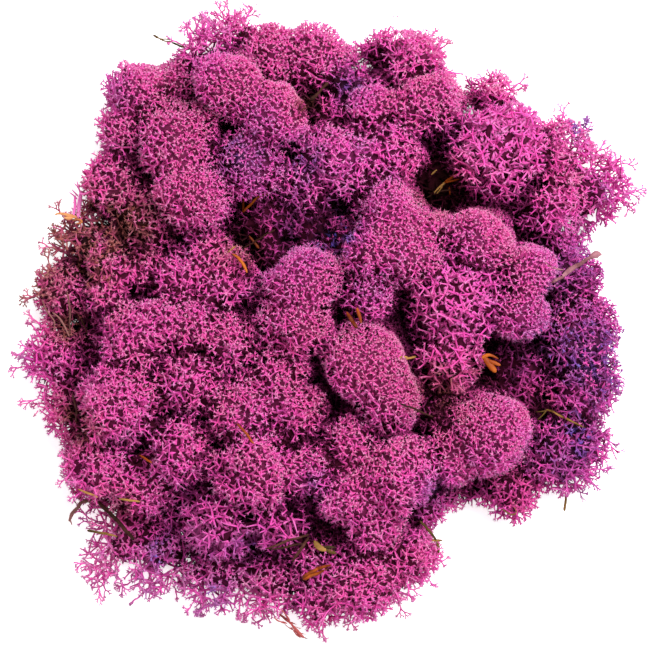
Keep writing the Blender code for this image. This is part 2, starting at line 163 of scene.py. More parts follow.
BLUE_PATCHES = (
    Patch(106, -10, 26, 0.6),
    Patch(88, -54, 16, 0.45),
    Patch(92, 8, 12, 0.35),
    Patch(116, 52, 8, 0.35),
    Patch(-32, 70, 9, 0.4),
    Patch(4, 36, 9, 1.2),
    Patch(101, 79, 7, 0.8),
    Patch(102, -43, 11, 0.95),
    Patch(115, 0, 9, 0.5),
    Patch(106, 26, 6, 0.5),
    Patch(110, -30, 10, 0.5),
    Patch(58, 34, 6, 0.3),
    Patch(10, 96, 6, 0.4),
    Patch(-67, -93, 5, 0.8),
    Patch(-44, -110, 6, 0.6),
    Patch(-4, -62, 4, 0.5),
)
BROWN_PATCHES = (
    Patch(-102, 36, 20, 1.1),
    Patch(-80, 40, 15, 1.0),
    Patch(-92, 20, 10, 0.8),
    Patch(-116, 16, 12, 0.8),
    Patch(-34, 30, 9, 0.9),
    Patch(-6, 88, 6, 0.9),
    Patch(46, -26, 11, 0.8),
    Patch(-98, -42, 9, 0.7),
    Patch(-84, -74, 9, 0.5),
    Patch(-104, 0, 8, 1.0),
    Patch(-104, -36, 9, 0.7),
    Patch(-30, 34, 8, 0.6),
    Patch(46, 56, 10, 0.9),
    Patch(62, -18, 8, 0.6),
    Patch(78, -66, 12, 0.4),
    Patch(86, -30, 10, 0.4),
)

# Pits between the heads, where the moss is torn or thin, which are also painted in shade. An amount is a
# pit's depth in mm.
PITS = (
    Patch(-7, 86, 5, 7),
    Patch(-39, 77, 3, 5),
    Patch(-32, 22, 6, 7),
    Patch(-76, 31, 5, 6),
    Patch(46, -26, 6, 6),
    Patch(74, -18, 6, 6),
    Patch(-74, -56, 4, 7),
    Patch(-16, -47, 4, 6),
    Patch(5, -57, 4, 6),
    Patch(-20, -87, 6, 6),
    Patch(-71, -86, 4, 5),
    Patch(-41, -60, 4, 6),
    Patch(-60, 12, 4, 5),
    Patch(-92, -2, 4, 5),
    Patch(-100, -40, 4, 5),
    Patch(-18, -8, 4, 5),
    Patch(12, 28, 4, 5),
    Patch(86, -34, 5, 6),
    Patch(-86, 58, 4, 4),
)

# The litter, laid out as in the photograph: paths are in its pixels, 0.4 mm each, from its top left corner.
# Widths are in mm and tones go from dark, 0, to pale, 1, both spread evenly along the path.
PIXEL = 0.4 * MM
PHOTO_MIDDLE = 325
Strand = namedtuple("Strand", "path widths tones")
Litter = namedtuple("Litter", "flatness roughness strands")
LITTER = {
    "forked_twig": Litter(0.9, 0.5, (
        Strand(((76, 505), (84, 503.5), (91, 503), (97, 508), (106, 515), (116, 525),
                (124, 533), (132, 542)),
               (1.9, 1.5, 1.8, 1.6, 1.7, 1.3), (0.75, 0.5, 0.25, 0.2, 0.3, 0.1)),
        Strand(((78, 505), (73, 499), (69, 494), (65, 488)), (1.6, 1.3, 0.9), (0.7, 0.6, 0.7)),
        Strand(((78, 504), (74, 509), (69, 515), (65, 520), (62.8, 526)),
               (1.7, 1.3, 1.6, 1.0), (0.6, 0.8, 0.9)),
        Strand(((64, 524), (66.5, 529.5)), (0.7, 0.4), (0.9, 0.95)),
        Strand(((72, 508), (69, 504.5), (68, 502)), (0.5, 0.6), (0.7, 0.9)),
    )),
    "dry_leaf_stem": Litter(0.4, 0.35, (
        Strand(((560, 276.5), (568, 270.5), (576, 265.5), (584, 260.5), (590, 257)),
               (1.4, 2.1, 1.9, 1.5, 1.2), (0.9, 0.7, 0.35, 0.3, 0.6)),
        Strand(((587, 259), (592, 255.5), (596, 254), (601, 255.5)), (1.2, 2.6, 3.2, 0.4), (0.4, 0.8, 0.9)),
        Strand(((592, 256), (594, 251)), (2.4, 0.6), (0.6, 0.9)),
        Strand(((542.6, 262.4), (546, 266.9), (552, 269.3), (562, 270.5)),
               (0.7, 0.8, 0.6), (0.9, 0.8, 0.7)),
        Strand(((548, 283.5), (554, 279.5), (562, 277)), (0.6, 1.3, 1.0), (0.2, 0.7, 0.3)),
    )),
    "pine_needle_pair": Litter(0.8, 0.12, (
        Strand(((302, 579), (310, 573.5), (320, 568.5), (331, 565)),
               (1.3, 1.5, 1.4, 0.9), (0.15, 0.5, 0.45, 0.3)),
        Strand(((303, 580.5), (314, 575.5), (322, 571.5), (328, 569.5)),
               (1.4, 1.6, 1.3, 0.5), (0.3, 0.7, 0.4, 0.1)),
    )),
    "pine_needle_centre": Litter(0.8, 0.12, (
        Strand(((346, 312), (350, 319), (356.5, 328)), (1.0, 1.7, 1.6), (0.35, 0.15, 0.1)),
        Strand(((356.5, 308), (358.5, 314), (360.5, 323)), (1.3, 1.5, 0.9), (0.6, 0.35, 0.3)),
    )),
    "brown_needle_front": Litter(0.8, 0.15, (
        Strand(((266, 549), (273, 546.5), (282, 542.5), (292, 539), (303, 536), (309, 534)),
               (0.7, 1.1, 1.0, 0.8), (0.4, 0.5, 0.35)),
        Strand(((271, 549), (281, 547.5), (292, 545), (303, 543.5)), (0.6, 0.9, 0.7), (0.15, 0.3, 0.2)),
        Strand(((309, 536), (303, 546), (298, 553), (292, 561)),
               (0.8, 1.3, 1.2, 0.9), (0.2, 0.5, 0.45, 0.2)),
    )),
    "thin_stem_right": Litter(0.9, 0.1, (
        Strand(((548.5, 410), (556, 413), (563, 417), (570, 420.5), (577, 424), (585, 428)),
               (0.7, 0.9, 0.9, 0.5), (0.4, 0.75, 0.6, 0.3)),
        Strand(((540, 421), (545, 416), (549, 410)), (0.5, 0.6), (0.2, 0.35)),
        Strand(((538, 413), (544, 412.5), (550, 411)), (0.4, 0.5), (0.2, 0.3)),
    )),
    "grass_blade_left": Litter(0.5, 0.12, (
        Strand(((83.3, 533.5), (91, 534.5), (100, 536.3), (107, 537.5), (115, 539)),
               (1.1, 1.0, 1.1, 0.5), (0.1, 0.25, 0.55, 0.8)),
    )),
    "grass_blade_back": Litter(0.5, 0.1, (
        Strand(((152.6, 33.6), (158, 36.6)), (0.9, 1.0), (0.15, 0.25)),
        Strand(((157, 36), (163, 38), (169.5, 39.4)), (0.5, 0.5), (0.4, 0.3)),
        Strand(((157, 36.8), (163, 39.6), (169, 41.2), (171, 40)), (0.6, 0.6, 0.5), (0.35, 0.3)),
        Strand(((171, 41.6), (178, 44), (184, 47)), (0.8, 0.9), (0.0, 0.1)),
    )),
    "dark_twig_back": Litter(0.9, 0.4, (
        Strand(((328.5, 82), (323, 86), (319.5, 91), (316, 96), (310, 99)),
               (1.3, 1.0, 1.3, 2.0), (0.4, 0.3, 0.3, 0.1)),
    )),
    "curved_stem_front": Litter(0.8, 0.15, (
        Strand(((421, 523), (427, 529), (432, 534.5), (436, 540), (438, 543.5)),
               (1.0, 1.1, 0.8), (0.15, 0.2, 0.12)),
        Strand(((437.6, 544), (439, 549), (440.3, 555.5)), (0.9, 1.3, 1.1), (0.2, 0.35, 0.3)),
        Strand(((432.6, 542.6), (437, 542.5), (440, 541.8), (444, 542.8)),
               (0.9, 1.2, 0.9, 0.6), (0.8, 0.6, 0.3)),
    )),
    "dry_leaf_scrap": Litter(0.35, 0.4, (
        Strand(((314.5, 542), (316, 547), (321, 550), (327, 552)), (1.2, 2.6, 2.4, 1.2), (0.55, 0.7, 0.9)),
        Strand(((324, 549), (330, 552), (337, 555)), (0.8, 2.2, 0.8), (0.1, 0.3, 0.2)),
        Strand(((323, 549), (329, 547.5), (336, 549)), (0.8, 1.4, 0.6), (0.05, 0.1)),
    )),
    "bud_scale": Litter(0.45, 0.6, (
        Strand(((482, 356), (485, 360), (490, 366), (494, 372)),
               (1.6, 2.4, 2.6, 1.8), (0.45, 0.4, 0.45, 0.7)),
        Strand(((480.5, 358), (483, 354.5), (488, 354.5), (493, 356.5), (497, 358.5)),
               (1.4, 1.6, 1.2, 0.9, 0.4), (0.6, 0.75, 0.4, 0.3)),
        Strand(((486, 360), (492, 362), (499, 365)), (1.2, 1.6, 1.2), (0.4, 0.45, 0.6)),
    )),
    "bark_scrap_left": Litter(0.4, 0.4, (
        Strand(((51.5, 214), (54, 211.5), (60, 212.5), (67, 214.5), (74, 216.5)),
               (0.5, 0.9, 1.3, 1.6, 0.7), (0.7, 0.6)),
        Strand(((61, 216), (66, 217.5), (71, 216)), (0.6, 1.8, 0.8), (0.8, 0.6)),
        Strand(((70, 219.5), (75, 217.5), (81, 219.5), (78, 222.5), (72, 222)),
               (0.9, 0.9, 0.9, 0.5), (0.1, 0.5, 0.2)),
    )),
    "bark_strip_front": Litter(0.4, 0.7, (
        Strand(((278, 616), (284, 620), (289, 624.5), (293, 629), (297, 634), (301, 637.5), (305, 640.5)),
               (0.7, 1.2, 0.9, 0.8, 1.5, 1.6, 0.5), (0.2, 0.15, 0.5, 0.6, 0.5)),
        Strand(((290, 629), (295, 635.5), (300.5, 640.5)), (0.3, 0.7, 0.4), (0.3, 0.5)),
        Strand(((295, 629), (298, 631), (301, 631.5)), (0.5, 0.3), (0.4, 0.3)),
        Strand(((299, 635), (303.5, 635.5), (307, 637.5)), (0.5, 0.3), (0.5, 0.2)),
        Strand(((284, 626), (289, 631.5), (292, 632)), (0.3, 0.5), (0.3, 0.4)),
        Strand(((273.5, 620), (280, 624), (287, 626)), (0.5, 0.8), (0.6, 0.5)),
        Strand(((281, 612), (285, 617), (289, 624)), (0.5, 0.6), (0.7, 0.4)),
        Strand(((288, 624), (296.5, 626.5)), (0.9, 0.3), (0.4, 0.2)),
        Strand(((304, 640), (308, 641.5)), (0.6, 0.3), (0.05, 0.0)),
    )),
}
# Litter that is too small for a solid of its own, with the slot that it takes its finish from.
LOOSE = {
    "loose_needles": ("rust_needle", Litter(0.8, 0.12, (
        Strand(((232.5, 254), (238.4, 257.8), (243.5, 264.8), (247.3, 273)),
               (0.5, 1.3, 1.3, 0.8), (0.6, 0.8)),
        Strand(((242.5, 196), (243, 203), (242, 211)), (0.6, 1.0, 1.1), (0.1, 0.4)),
        Strand(((241.5, 211.5), (248, 205.5), (254, 199.5), (259.5, 195.3), (269, 193.6)),
               (1.2, 1.0, 0.5), (0.3, 0.7, 0.2)),
        Strand(((248.6, 235), (253, 241), (258.5, 248)), (0.9, 1.2), (0.15, 0.2)),
        Strand(((233.3, 223.4), (235.8, 233)), (0.7, 0.9), (0.15, 0.2)),
        Strand(((445.7, 181), (451, 177), (459, 172.5)), (0.9, 1.1, 0.8), (0.5, 0.45)),
        Strand(((446, 182), (453, 179.5), (461, 178.2)), (0.7, 0.9, 0.4), (0.8, 0.3)),
        Strand(((449.9, 186), (451.8, 193)), (0.8, 0.7), (0.5, 0.4)),
        Strand(((238, 422), (247, 432), (255, 442)), (0.7, 1.1, 0.8), (0.3, 0.55)),
        Strand(((140, 455), (147, 459), (153, 462)), (0.7, 1.0, 0.7), (0.4, 0.5)),
        Strand(((402, 350.5), (406, 354.5)), (1.4, 2.0), (0.4, 0.55)),
    ))),
    "loose_straws": ("straw", Litter(0.7, 0.12, (
        Strand(((78, 489), (89, 493), (98, 497.5)), (0.6, 1.0, 0.6), (0.7, 0.95)),
        Strand(((118, 499.5), (128, 501), (140, 501.5)), (0.7, 1.0, 0.7), (0.8, 0.9)),
        Strand(((227.6, 252.7), (235.2, 246.3)), (0.5, 0.7), (0.6, 0.8)),
        Strand(((432.7, 173), (438.5, 168.5)), (0.7, 0.7), (0.7, 0.8)),
        Strand(((447, 180), (440, 186.5), (434, 193.5)), (1.2, 0.7, 0.5), (0.9, 0.7)),
        Strand(((444, 184), (438, 193)), (0.7, 0.5), (0.7, 0.5)),
        Strand(((397, 358.5), (401, 355.5), (407, 357.5)), (0.6, 1.2, 0.6), (0.9, 1.0)),
        Strand(((399, 361), (404, 358.5), (410, 358), (415.5, 356.5)), (0.7, 1.1, 0.8, 1.2), (0.8, 0.9)),
        Strand(((504, 511), (509, 515), (515, 518), (520, 514), (516, 509.5)), (0.5, 0.6, 0.5), (0.3, 0.5)),
        Strand(((570, 495), (571, 505), (569, 515)), (0.9, 1.1), (0.3, 0.5)),
    ))),
    "loose_twigs": ("dark_bark", Litter(0.9, 0.2, (
        Strand(((238, 250), (256, 240.5), (275, 229.5)), (0.5, 0.8, 0.6), (0.2, 0.35)),
        Strand(((65.5, 291), (66.5, 300), (67.5, 310), (66.5, 320), (66, 336)),
               (0.5, 0.9, 0.6), (0.75, 0.6)),
        Strand(((49, 312), (57, 319), (62, 327), (66, 337)), (0.6, 0.8, 0.6), (0.9, 0.8)),
        Strand(((70, 309), (74, 315), (78, 321), (81, 329), (83, 336)), (0.5, 0.6), (0.4, 0.5)),
        Strand(((68, 321), (72, 325), (75, 332)), (0.5, 0.5), (0.6, 0.5)),
        Strand(((428, 196), (440, 190), (452, 188)), (0.5, 0.7), (0.1, 0.3)),
        Strand(((398, 402), (412, 407), (422, 412), (432, 416)), (0.6, 0.9, 0.6), (0.1, 0.3)),
        Strand(((70, 395), (74, 410), (72, 425), (76, 440)), (0.6, 0.8, 0.5), (0.5, 0.6)),
        Strand(((40, 300), (44, 312), (52, 322), (50, 332)), (0.5, 0.7, 0.4), (0.8, 0.9)),
    ))),
    "tall_sprig": ("pink_moss", Litter(0.8, 0.3, (
        Strand(((69, 216), (70.5, 203), (70.5, 193)), (1.0, 1.2, 0.9), (0.6, 0.4)),
        Strand(((73.5, 217), (75, 203), (77, 189)), (1.4, 1.9, 1.4), (0.7, 0.6)),
        Strand(((70.5, 195), (66, 191), (61.5, 188)), (0.8, 0.6, 0.35), (0.5, 0.8)),
        Strand(((71, 193), (68.5, 188.5), (64.5, 185)), (0.8, 0.6, 0.35), (0.5, 0.8)),
        Strand(((76, 191), (73, 184), (69, 180.5)), (0.8, 0.6, 0.4), (0.5, 0.7)),
        Strand(((76.5, 191), (76, 184), (74, 178.5)), (0.8, 0.6, 0.4), (0.5, 0.6)),
        Strand(((78, 193), (83, 193), (87.5, 192)), (0.8, 0.5, 0.35), (0.5, 0.4)),
        Strand(((70.5, 205), (68, 202), (66, 199)), (0.6, 0.4), (0.5, 0.8)),
        Strand(((70, 210), (68, 207), (64.5, 204.5)), (0.6, 0.4), (0.5, 0.8)),
    ))),
}

# The litter's finishes: slot, material, colours, roughness and how much its tone varies.
FINISHES = (
    ("dark_bark", "dark_bark", "bark", 0.8, 0.5),
    ("rust_needle", "rust_needle", "needle", 0.5, 0.35),
    ("mauve_stem", "mauve_stem", "stem", 0.8, 0.6),
    ("straw", "straw", "straw", 0.65, 0.5),
    ("tan_scrap", "tan_scrap", "scrap", 0.8, 0.5),
    ("red_scrap", "red_scrap", "strip", 0.8, 0.7),
    ("pink_moss", "dyed_sprig", "sprig", 0.9, 0.3),
)

# The lumps of the forms that the branches grow on, and of their dark hearts: height and size, in mm, and
# seed.
FORM_LUMPS = ((1.3, 17, 0), (0.6, 8, 4))
HEART_LUMPS = ((0.9, 4.5, 5), (0.5, 2.2, 6))
HEART_COVER = 0.6  # mm of moss over the heart where nothing shows
# Rings of ways in which a place may see the sky: how level they are, how they rise and their turn.
SKY_RINGS = ((0.75, 0.66, 0.3), (0.97, 0.24, 0.0))
WAYS_A_RING = 5
SKY_REACH = 0.08  # how far off a cushion still hides the sky
# The painted shade of a pit starts and ends at these depths.
PIT_EDGE, PIT_HEART = 1, 5  # depths in a pit, in mm, where the light starts and ends to fall

# How the branches grow, from the tips down to the cut base.
FORK_LEVELS = 8
FEWEST_FORKS = 5
WIDER_A_LEVEL = 1.17  # a branch's girth over that of the branches that it carries
DROOP_A_LEVEL = 0.16
OPEN_NET = 1.25  # times wider than on a dense cap, from which branches bend and lean on each other
BEND = 0.14  # how far a branch bends aside, over its length
# Painted shade: the share of light that each level of branches keeps of the one above it.
LACE_KEPT, UPPER_KEPT, LOWER_KEPT = 0.97, 0.95, 0.84  # light that a level keeps of the one above it
LEAST_TIP_HEIGHT = 1.3 * MM
LEAST_FORK_HEIGHT = 0.8 * MM
LEAST_BEND_HEIGHT = 0.7 * MM
LEAST_INNER_HEIGHT = 1.8 * MM
FOOT_HEIGHT = 0.4 * MM
HIDDEN_DEPTH = 0.8 * MM
INNER_GIRTH = 0.22 * MM
SPRIG_REACH = (1.8 * MM, 3.0 * MM)
SPRIG_STAR = (0.5, 0.7)
SPRIG_GIRTH = 1.5  # over that of a branch under a dense cap
SPRIG_FORKS = 4

# The stars at the branch ends, with sizes over a star's reach.
STAR_SPIKES = (3, 3, 4, 4, 4, 5)
LAST_KIND = len(STAR_SPIKES) - 1
LAST_INNER_KIND = 1
STAR_RING = 0.36
SPIKE_REACH = (0.78, 1.05)
SPIKE_RISE = (0.5, 0.95)
# The strands of the litter.
STRAND_STEP = 0.7 * MM
STRAND_WAVER = 0.12 * MM
STRAND_TAPER = 0.5 * MM

# Places across the map's colours, from brown to blue.
BROWN, SALMON, VIOLET, BLUE = 0.05, 0.42, 0.76, 0.95
HUE_RANGE = (0.04, BLUE)
HUE_STOPS = (0.06, 0.41, 0.57, VIOLET, BLUE)
# Places up the map, from the painted shade deep in the heart through the full colour to the pale tips.
DARKEST, BRANCH_PLACE = 0.05, 0.45
DULL = 0.9
MAP_SPREAD = 0.006


def clamp01(values):
    return np.clip(values, 0.0, 1.0)


def blended(values, low, high):
    """0 at low and under, 1 at high and over, and smooth between."""
    t = clamp01((values - low) / (high - low))
    return t * t * (3 - 2 * t)


def unit(vectors):
    return vectors / np.maximum(np.linalg.norm(vectors, axis=-1, keepdims=True), 1e-12)


def ripple(points, size, seed, waves=10):
    """Smooth random numbers over space, mostly between -1 and 1, in lumps about size across."""
    rng = np.random.default_rng(seed)
    ways = unit(rng.normal(size=(waves, 3))) * rng.uniform(0.6, 1.4, (waves, 1)) * math.pi / size
    return np.sin(points @ ways.T + rng.uniform(0, 2 * math.pi, waves)).sum(1) * math.sqrt(1 / waves)


def patched(points, patches):
    """How strongly the patches colour each point, from 0 to 1."""
    total = np.zeros(len(points))
    for patch in patches:
        middle = np.array([patch.east - MODEL_MIDDLE[0], patch.north - MODEL_MIDDLE[1]]) * MM
        away = np.linalg.norm(points[:, :2] - middle, axis=1) / (patch.radius * MM)
        total = np.maximum(total, patch.amount * np.exp(-(away**2)))
    return total


def pitted(points):
    """How deep in a pit each point lies, in mm."""
    return 0.8 * patched(points, PITS) * (1 + 0.4 * ripple(points, 2.5 * MM, 83))


def painted_light_in_pits(points, shade):
    """The share of its painted light that each point keeps: deep in a pit, a painted shade takes the given
    share of it.
    """
    return 1 - shade * blended(pitted(points), PIT_EDGE, PIT_HEART)


def lumps(points, rows, seed):
    """Rises and dips over a surface, in mm, from rows of height, size and seed."""
    return sum(height * ripple(points, size * MM, seed + more) for height, size, more in rows)


# Meshes


def mesh_from(name, points, faces):
    mesh = bpy.data.meshes.new(name)
    mesh.from_pydata([tuple(point) for point in points], [], [tuple(face) for face in faces])
    mesh.update()
    return mesh


def object_from(name, mesh):
    made = bpy.data.objects.new(name, mesh)
    bpy.context.scene.collection.objects.link(made)
    return made


def evaluated_mesh(holder):
    graph = bpy.context.evaluated_depsgraph_get()
    return bpy.data.meshes.new_from_object(holder.evaluated_get(graph))


def dropped(holder):
    """Removes a helper object with its mesh."""
    mesh = holder.data
    bpy.data.objects.remove(holder)
    if mesh is not None and mesh.users == 0:
        bpy.data.meshes.remove(mesh)


def values_of(items, name, width, kind=np.float32):
    """A value of each item as the rows of an array."""
    values = np.empty(len(items) * width, kind)
    items.foreach_get(name, values)
    return values.reshape(-1, width)


def points_of(mesh):
    return values_of(mesh.vertices, "co", 3).astype(np.float64)


def set_points(mesh, points):
    mesh.vertices.foreach_set("co", points.astype(np.float32).ravel())
    mesh.update()


def normals_of(mesh):
    return values_of(mesh.vertex_normals, "vector", 3).astype(np.float64)


def edges_of(mesh):
    return values_of(mesh.edges, "vertices", 2, np.int32)


def triangles_of(mesh):
    mesh.calc_loop_triangles()
    return values_of(mesh.loop_triangles, "vertices", 3, np.int32)


def add_numbers(mesh, name, values):
    """Stores a number, or a vector, for each vertex."""
    values = np.asarray(values, np.float32)
    kind = "FLOAT" if values.ndim == 1 else "FLOAT_VECTOR"
    attribute = mesh.attributes.new(name, kind, "POINT")
    attribute.data.foreach_set("value" if values.ndim == 1 else "vector", values.ravel())


def numbers_of(mesh, name):
    attribute = mesh.attributes.get(name)
    values = np.zeros(len(mesh.vertices), np.float32)
    if attribute is not None:
        attribute.data.foreach_get("value", values)
    return values


def tree_of(points):
    """A tree to search the points with."""
    tree = kdtree.KDTree(len(points))
    for index, point in enumerate(points):
        tree.insert(point, index)
    tree.balance()
    return tree


def solid_of(meshes):
    """The meshes as one solid, to cast rays at."""
    points, faces, start = [], [], 0
    for mesh in meshes:
        points += [tuple(point) for point in points_of(mesh)]
        faces += [tuple(face) for face in triangles_of(mesh) + start]
        start += len(mesh.vertices)
    return BVHTree.FromPolygons(points, faces)


# Cushion forms


def evened(points, edges, rounds, ease, swell):
    """Smooths points along edges, and swells them back after each round so that nothing shrinks."""
    ends = np.concatenate([edges, edges[:, ::-1]])
    counts = np.bincount(ends[:, 0], minlength=len(points))[:, None]
    for _ in range(rounds):
        for amount in (ease, -swell):
            sums = [np.bincount(ends[:, 0], points[ends[:, 1], k], len(points)) for k in range(3)]
            points = points + amount * (np.stack(sums, 1) / np.maximum(counts, 1) - points)
    return points


def creases(points, size, seed):
    """How deep in a crease between small rounded heads each point lies, from 0 to 1."""
    rng = np.random.default_rng(seed)
    low, high = points.min(0) - size, points.max(0) + size
    number = int(1.5 * np.prod((high - low) / size)) + 8
    centres = rng.uniform(low, high, (number, 3))
    centres = centres[thinned(centres, np.full(number, 0.8 * size), np.arange(number))]
    tree = tree_of(centres)
    gaps = []
    for point in points:
        (_, _, first), (_, _, second) = tree.find_n(point, 2)
        gaps.append(second - first)
    return 1 - blended(np.array(gaps), 0.0, 0.42 * size)


def even_form(node, look):
    """The node's solid with its facets rounded off, in an even mesh."""
    merged = bmesh.new()
    merged.from_mesh(frame["nodes"][node].data)
    bmesh.ops.remove_doubles(merged, verts=merged.verts, dist=0.01 * MM)
    mesh = bpy.data.meshes.new("form")
    merged.to_mesh(mesh)
    merged.free()
    holder = object_from("form", mesh)
    remesh = holder.modifiers.new("even", "REMESH")
    remesh.mode = "VOXEL"
    remesh.voxel_size = look.form_grain
    even = evaluated_mesh(holder)
    dropped(holder)
    set_points(even, evened(points_of(even), edges_of(even), 10, 0.6, 0.62))
    return even


def gap_fills(form, everything, look):
    """How far each vertex of a form can go outwards, level, to meet the middle of the gap beside it."""
    fills = []
    for point, normal in zip(points_of(form), normals_of(form)):
        level = Vector((normal[0], normal[1], 0))
        room = 0.0
        if level.length > 0.25:
            level.normalize()
            start = Vector(point) + 0.4 * MM * level
            away = everything.ray_cast(start, level, look.widest_gap)[3]
            if away is not None:
                room = 0.5 * away + 0.8 * MM
        fills.append(room)
    return np.array(fills)


def swell(form, exposure, fills, look, habit, seed):
    """Makes a form's small rounded heads and creases, and grows it into the gaps at its foot."""
    points, normals = points_of(form), normals_of(form)
    push = look.tangle + MM * lumps(points, FORM_LUMPS, seed)
    push -= habit.crease * MM * creases(points, look.head_size, seed + 3)
    push += look.valley_fill * (1 - blended(exposure, 0.15, 0.8)) * blended(fills, 0, 1 * MM)
    push -= pitted(points) * MM * blended(normals[:, 2], 0.1, 0.7)
    push *= blended(points[:, 2], 0.5 * MM, 6 * MM)
    low = 1 - blended(points[:, 2], 8 * MM, 28 * MM)
    level = unit(normals * (1, 1, 0)) * (low * fills)[:, None]
    points = points + normals * push[:, None] + level
    points[:, 2] = np.maximum(points[:, 2], 0)
    set_points(form, evened(points, edges_of(form), 2, 0.5, 0.5))


def exposures(form, everything, lift):
    """For each vertex of a form, the share of ways up and outward that no cushion blocks."""
    rays = [Vector((0, 0, 1))]
    for level, rise, turned in SKY_RINGS:
        for turn in range(WAYS_A_RING):
            angle = 2 * math.pi * turn / WAYS_A_RING + turned
            rays.append(Vector((level * math.cos(angle), level * math.sin(angle), rise)))
    shares = []
    for point, normal in zip(points_of(form), normals_of(form)):
        start = Vector(point + normal * lift)
        tried = [ray for ray in rays if ray.dot(Vector(normal)) >= -0.1]
        free = sum(everything.ray_cast(start, ray, SKY_REACH)[0] is None for ray in tried)
        shares.append(free / len(tried) if tried else 0.0)
    return np.array(shares)


# Branches


def thinned(points, spacings, order):
    """Indices of points left when each kept one clears the space around it, taken in the given order."""
    tree = tree_of(points)
    alive = np.ones(len(points), bool)
    kept = []
    for index in order:
        if not alive[index]:
            continue
        kept.append(index)
        for _, other, _ in tree.find_range(points[index], spacings[index]):
            alive[other] = False
    return np.array(kept, int)


def nearest(points, seeds):
    """For each point, the index of the nearest seed."""
    tree = tree_of(seeds)
    return np.array([tree.find(point)[1] for point in points], int)


def group_means(values, groups, count):
    sums = np.zeros((count, *values.shape[1:]))
    np.add.at(sums, groups, values)
    members = np.maximum(np.bincount(groups, minlength=count), 1)
    return sums / members.reshape(-1, *[1] * (values.ndim - 1))


# Branch points at one depth: the ways in, the distances between them, and what each branch looks like.
Level = namedtuple("Level", "indices points inward gaps girths shades hues")


class Skeleton:
    """Branch points and the branches between them, gathered level by level from the tips inward."""

    def __init__(self):
        self.points, self.branches, self.count = [], [], 0
        self.stored = {name: [] for name in ("girth", "shade", "hue", "star", "pale", "last_kind", "way")}

    def add(
        self, points, girths, shades, hues, stars=0.0, ways=(0.0, 0.0, 1.0), pales=0.0, last_kind=LAST_KIND
    ):
        """Adds points and returns their indices. A star there is of a random kind up to the last kind."""
        number = len(points)
        self.points.append(points)
        for name, values in zip(self.stored, (girths, shades, hues, stars, pales, last_kind)):
            self.stored[name].append(np.broadcast_to(values, number))
        self.stored["way"].append(np.broadcast_to(ways, (number, 3)))
        self.count += number
        return np.arange(self.count - number, self.count)

    def connect(self, ends, starts):
        self.branches.append(np.stack([starts, ends], 1))

    def girths_at(self, indices):
        return np.concatenate(self.stored["girth"])[indices]

    def mesh(self, hidden):
        """The skeleton as a mesh of edges, without the branches and stars at hidden points."""
        mesh = bpy.data.meshes.new("branches")
        points = np.concatenate(self.points)
        branches = np.concatenate(self.branches)
        branches = branches[~hidden[branches].all(1)]
        mesh.vertices.add(len(points))
        mesh.vertices.foreach_set("co", points.astype(np.float32).ravel())
        mesh.edges.add(len(branches))
        mesh.edges.foreach_set("vertices", branches.astype(np.int32).ravel())
        for name, parts in self.stored.items():
            values = np.concatenate(parts)
            add_numbers(mesh, name, np.where(hidden, 0.0, values) if name == "star" else values)
        mesh.update()
        return mesh


def scattered(form, exposure, rng, spacing_of):
    """Points spread over the seen parts of a form: places, outward ways, spacings and exposures."""
    points, normals, faces = points_of(form), normals_of(form), triangles_of(form)
    a, b, c = (points[faces[:, k]] for k in range(3))
    areas = np.linalg.norm(np.cross(b - a, c - a), axis=1) / 2
    areas = np.where(exposure[faces].mean(1) > 0.04, areas, 0.0)
    middles, ways = points[faces].mean(1), unit(normals[faces].mean(1))
    close = spacing_of(middles, ways, exposure[faces].mean(1))
    weights = areas / close**2
    tried = int(3.2 * weights.sum())
    picked = np.searchsorted(np.cumsum(weights), rng.uniform(0, weights.sum(), tried))
    picked = np.minimum(picked, len(faces) - 1)
    u, v = rng.uniform(size=(2, tried))
    u, v = np.where(u + v > 1, 1 - u, u), np.where(u + v > 1, 1 - v, v)
    shares = np.stack([1 - u - v, u, v], 1)
    places = (points[faces[picked]] * shares[:, :, None]).sum(1)
    ways = unit((normals[faces[picked]] * shares[:, :, None]).sum(1))
    seen = (exposure[faces[picked]] * shares).sum(1)
    spacing = spacing_of(places, ways, seen)
    kept = thinned(places, spacing, np.arange(tried))
    return places[kept], ways[kept], spacing[kept], seen[kept]


def openness_of(places, ways, habit, look, seed):
    """How open the net is at each place: dense on the caps and open on the sides."""
    cap = blended(ways @ unit(np.array(look.cap_way)), 0.1, 0.65)
    openness = habit.openness + (1 - habit.openness) * 0.65 * (1 - cap)
    openness = openness + 0.14 * ripple(places, 7 * MM, seed + 1)
    return clamp01(openness - 0.03)


def tips_on(form, exposure, habit, look, rng, seed):
    """Star points over the form: places, outward ways, spacings, openness and exposure of each."""

    def spacing_of(places, ways, seen):
        openness = openness_of(places, ways, habit, look, seed)
        spacing = look.tip_spacing * (1 + (look.open_spacing - 1) * openness)
        return spacing * (1 + 0.6 * clamp01(0.5 - seen) + 0.5 * blended(-places[:, 2], -16 * MM, -3 * MM))

    places, ways, spacing, seen = scattered(form, exposure, rng, spacing_of)
    return places, ways, spacing, openness_of(places, ways, habit, look, seed), seen


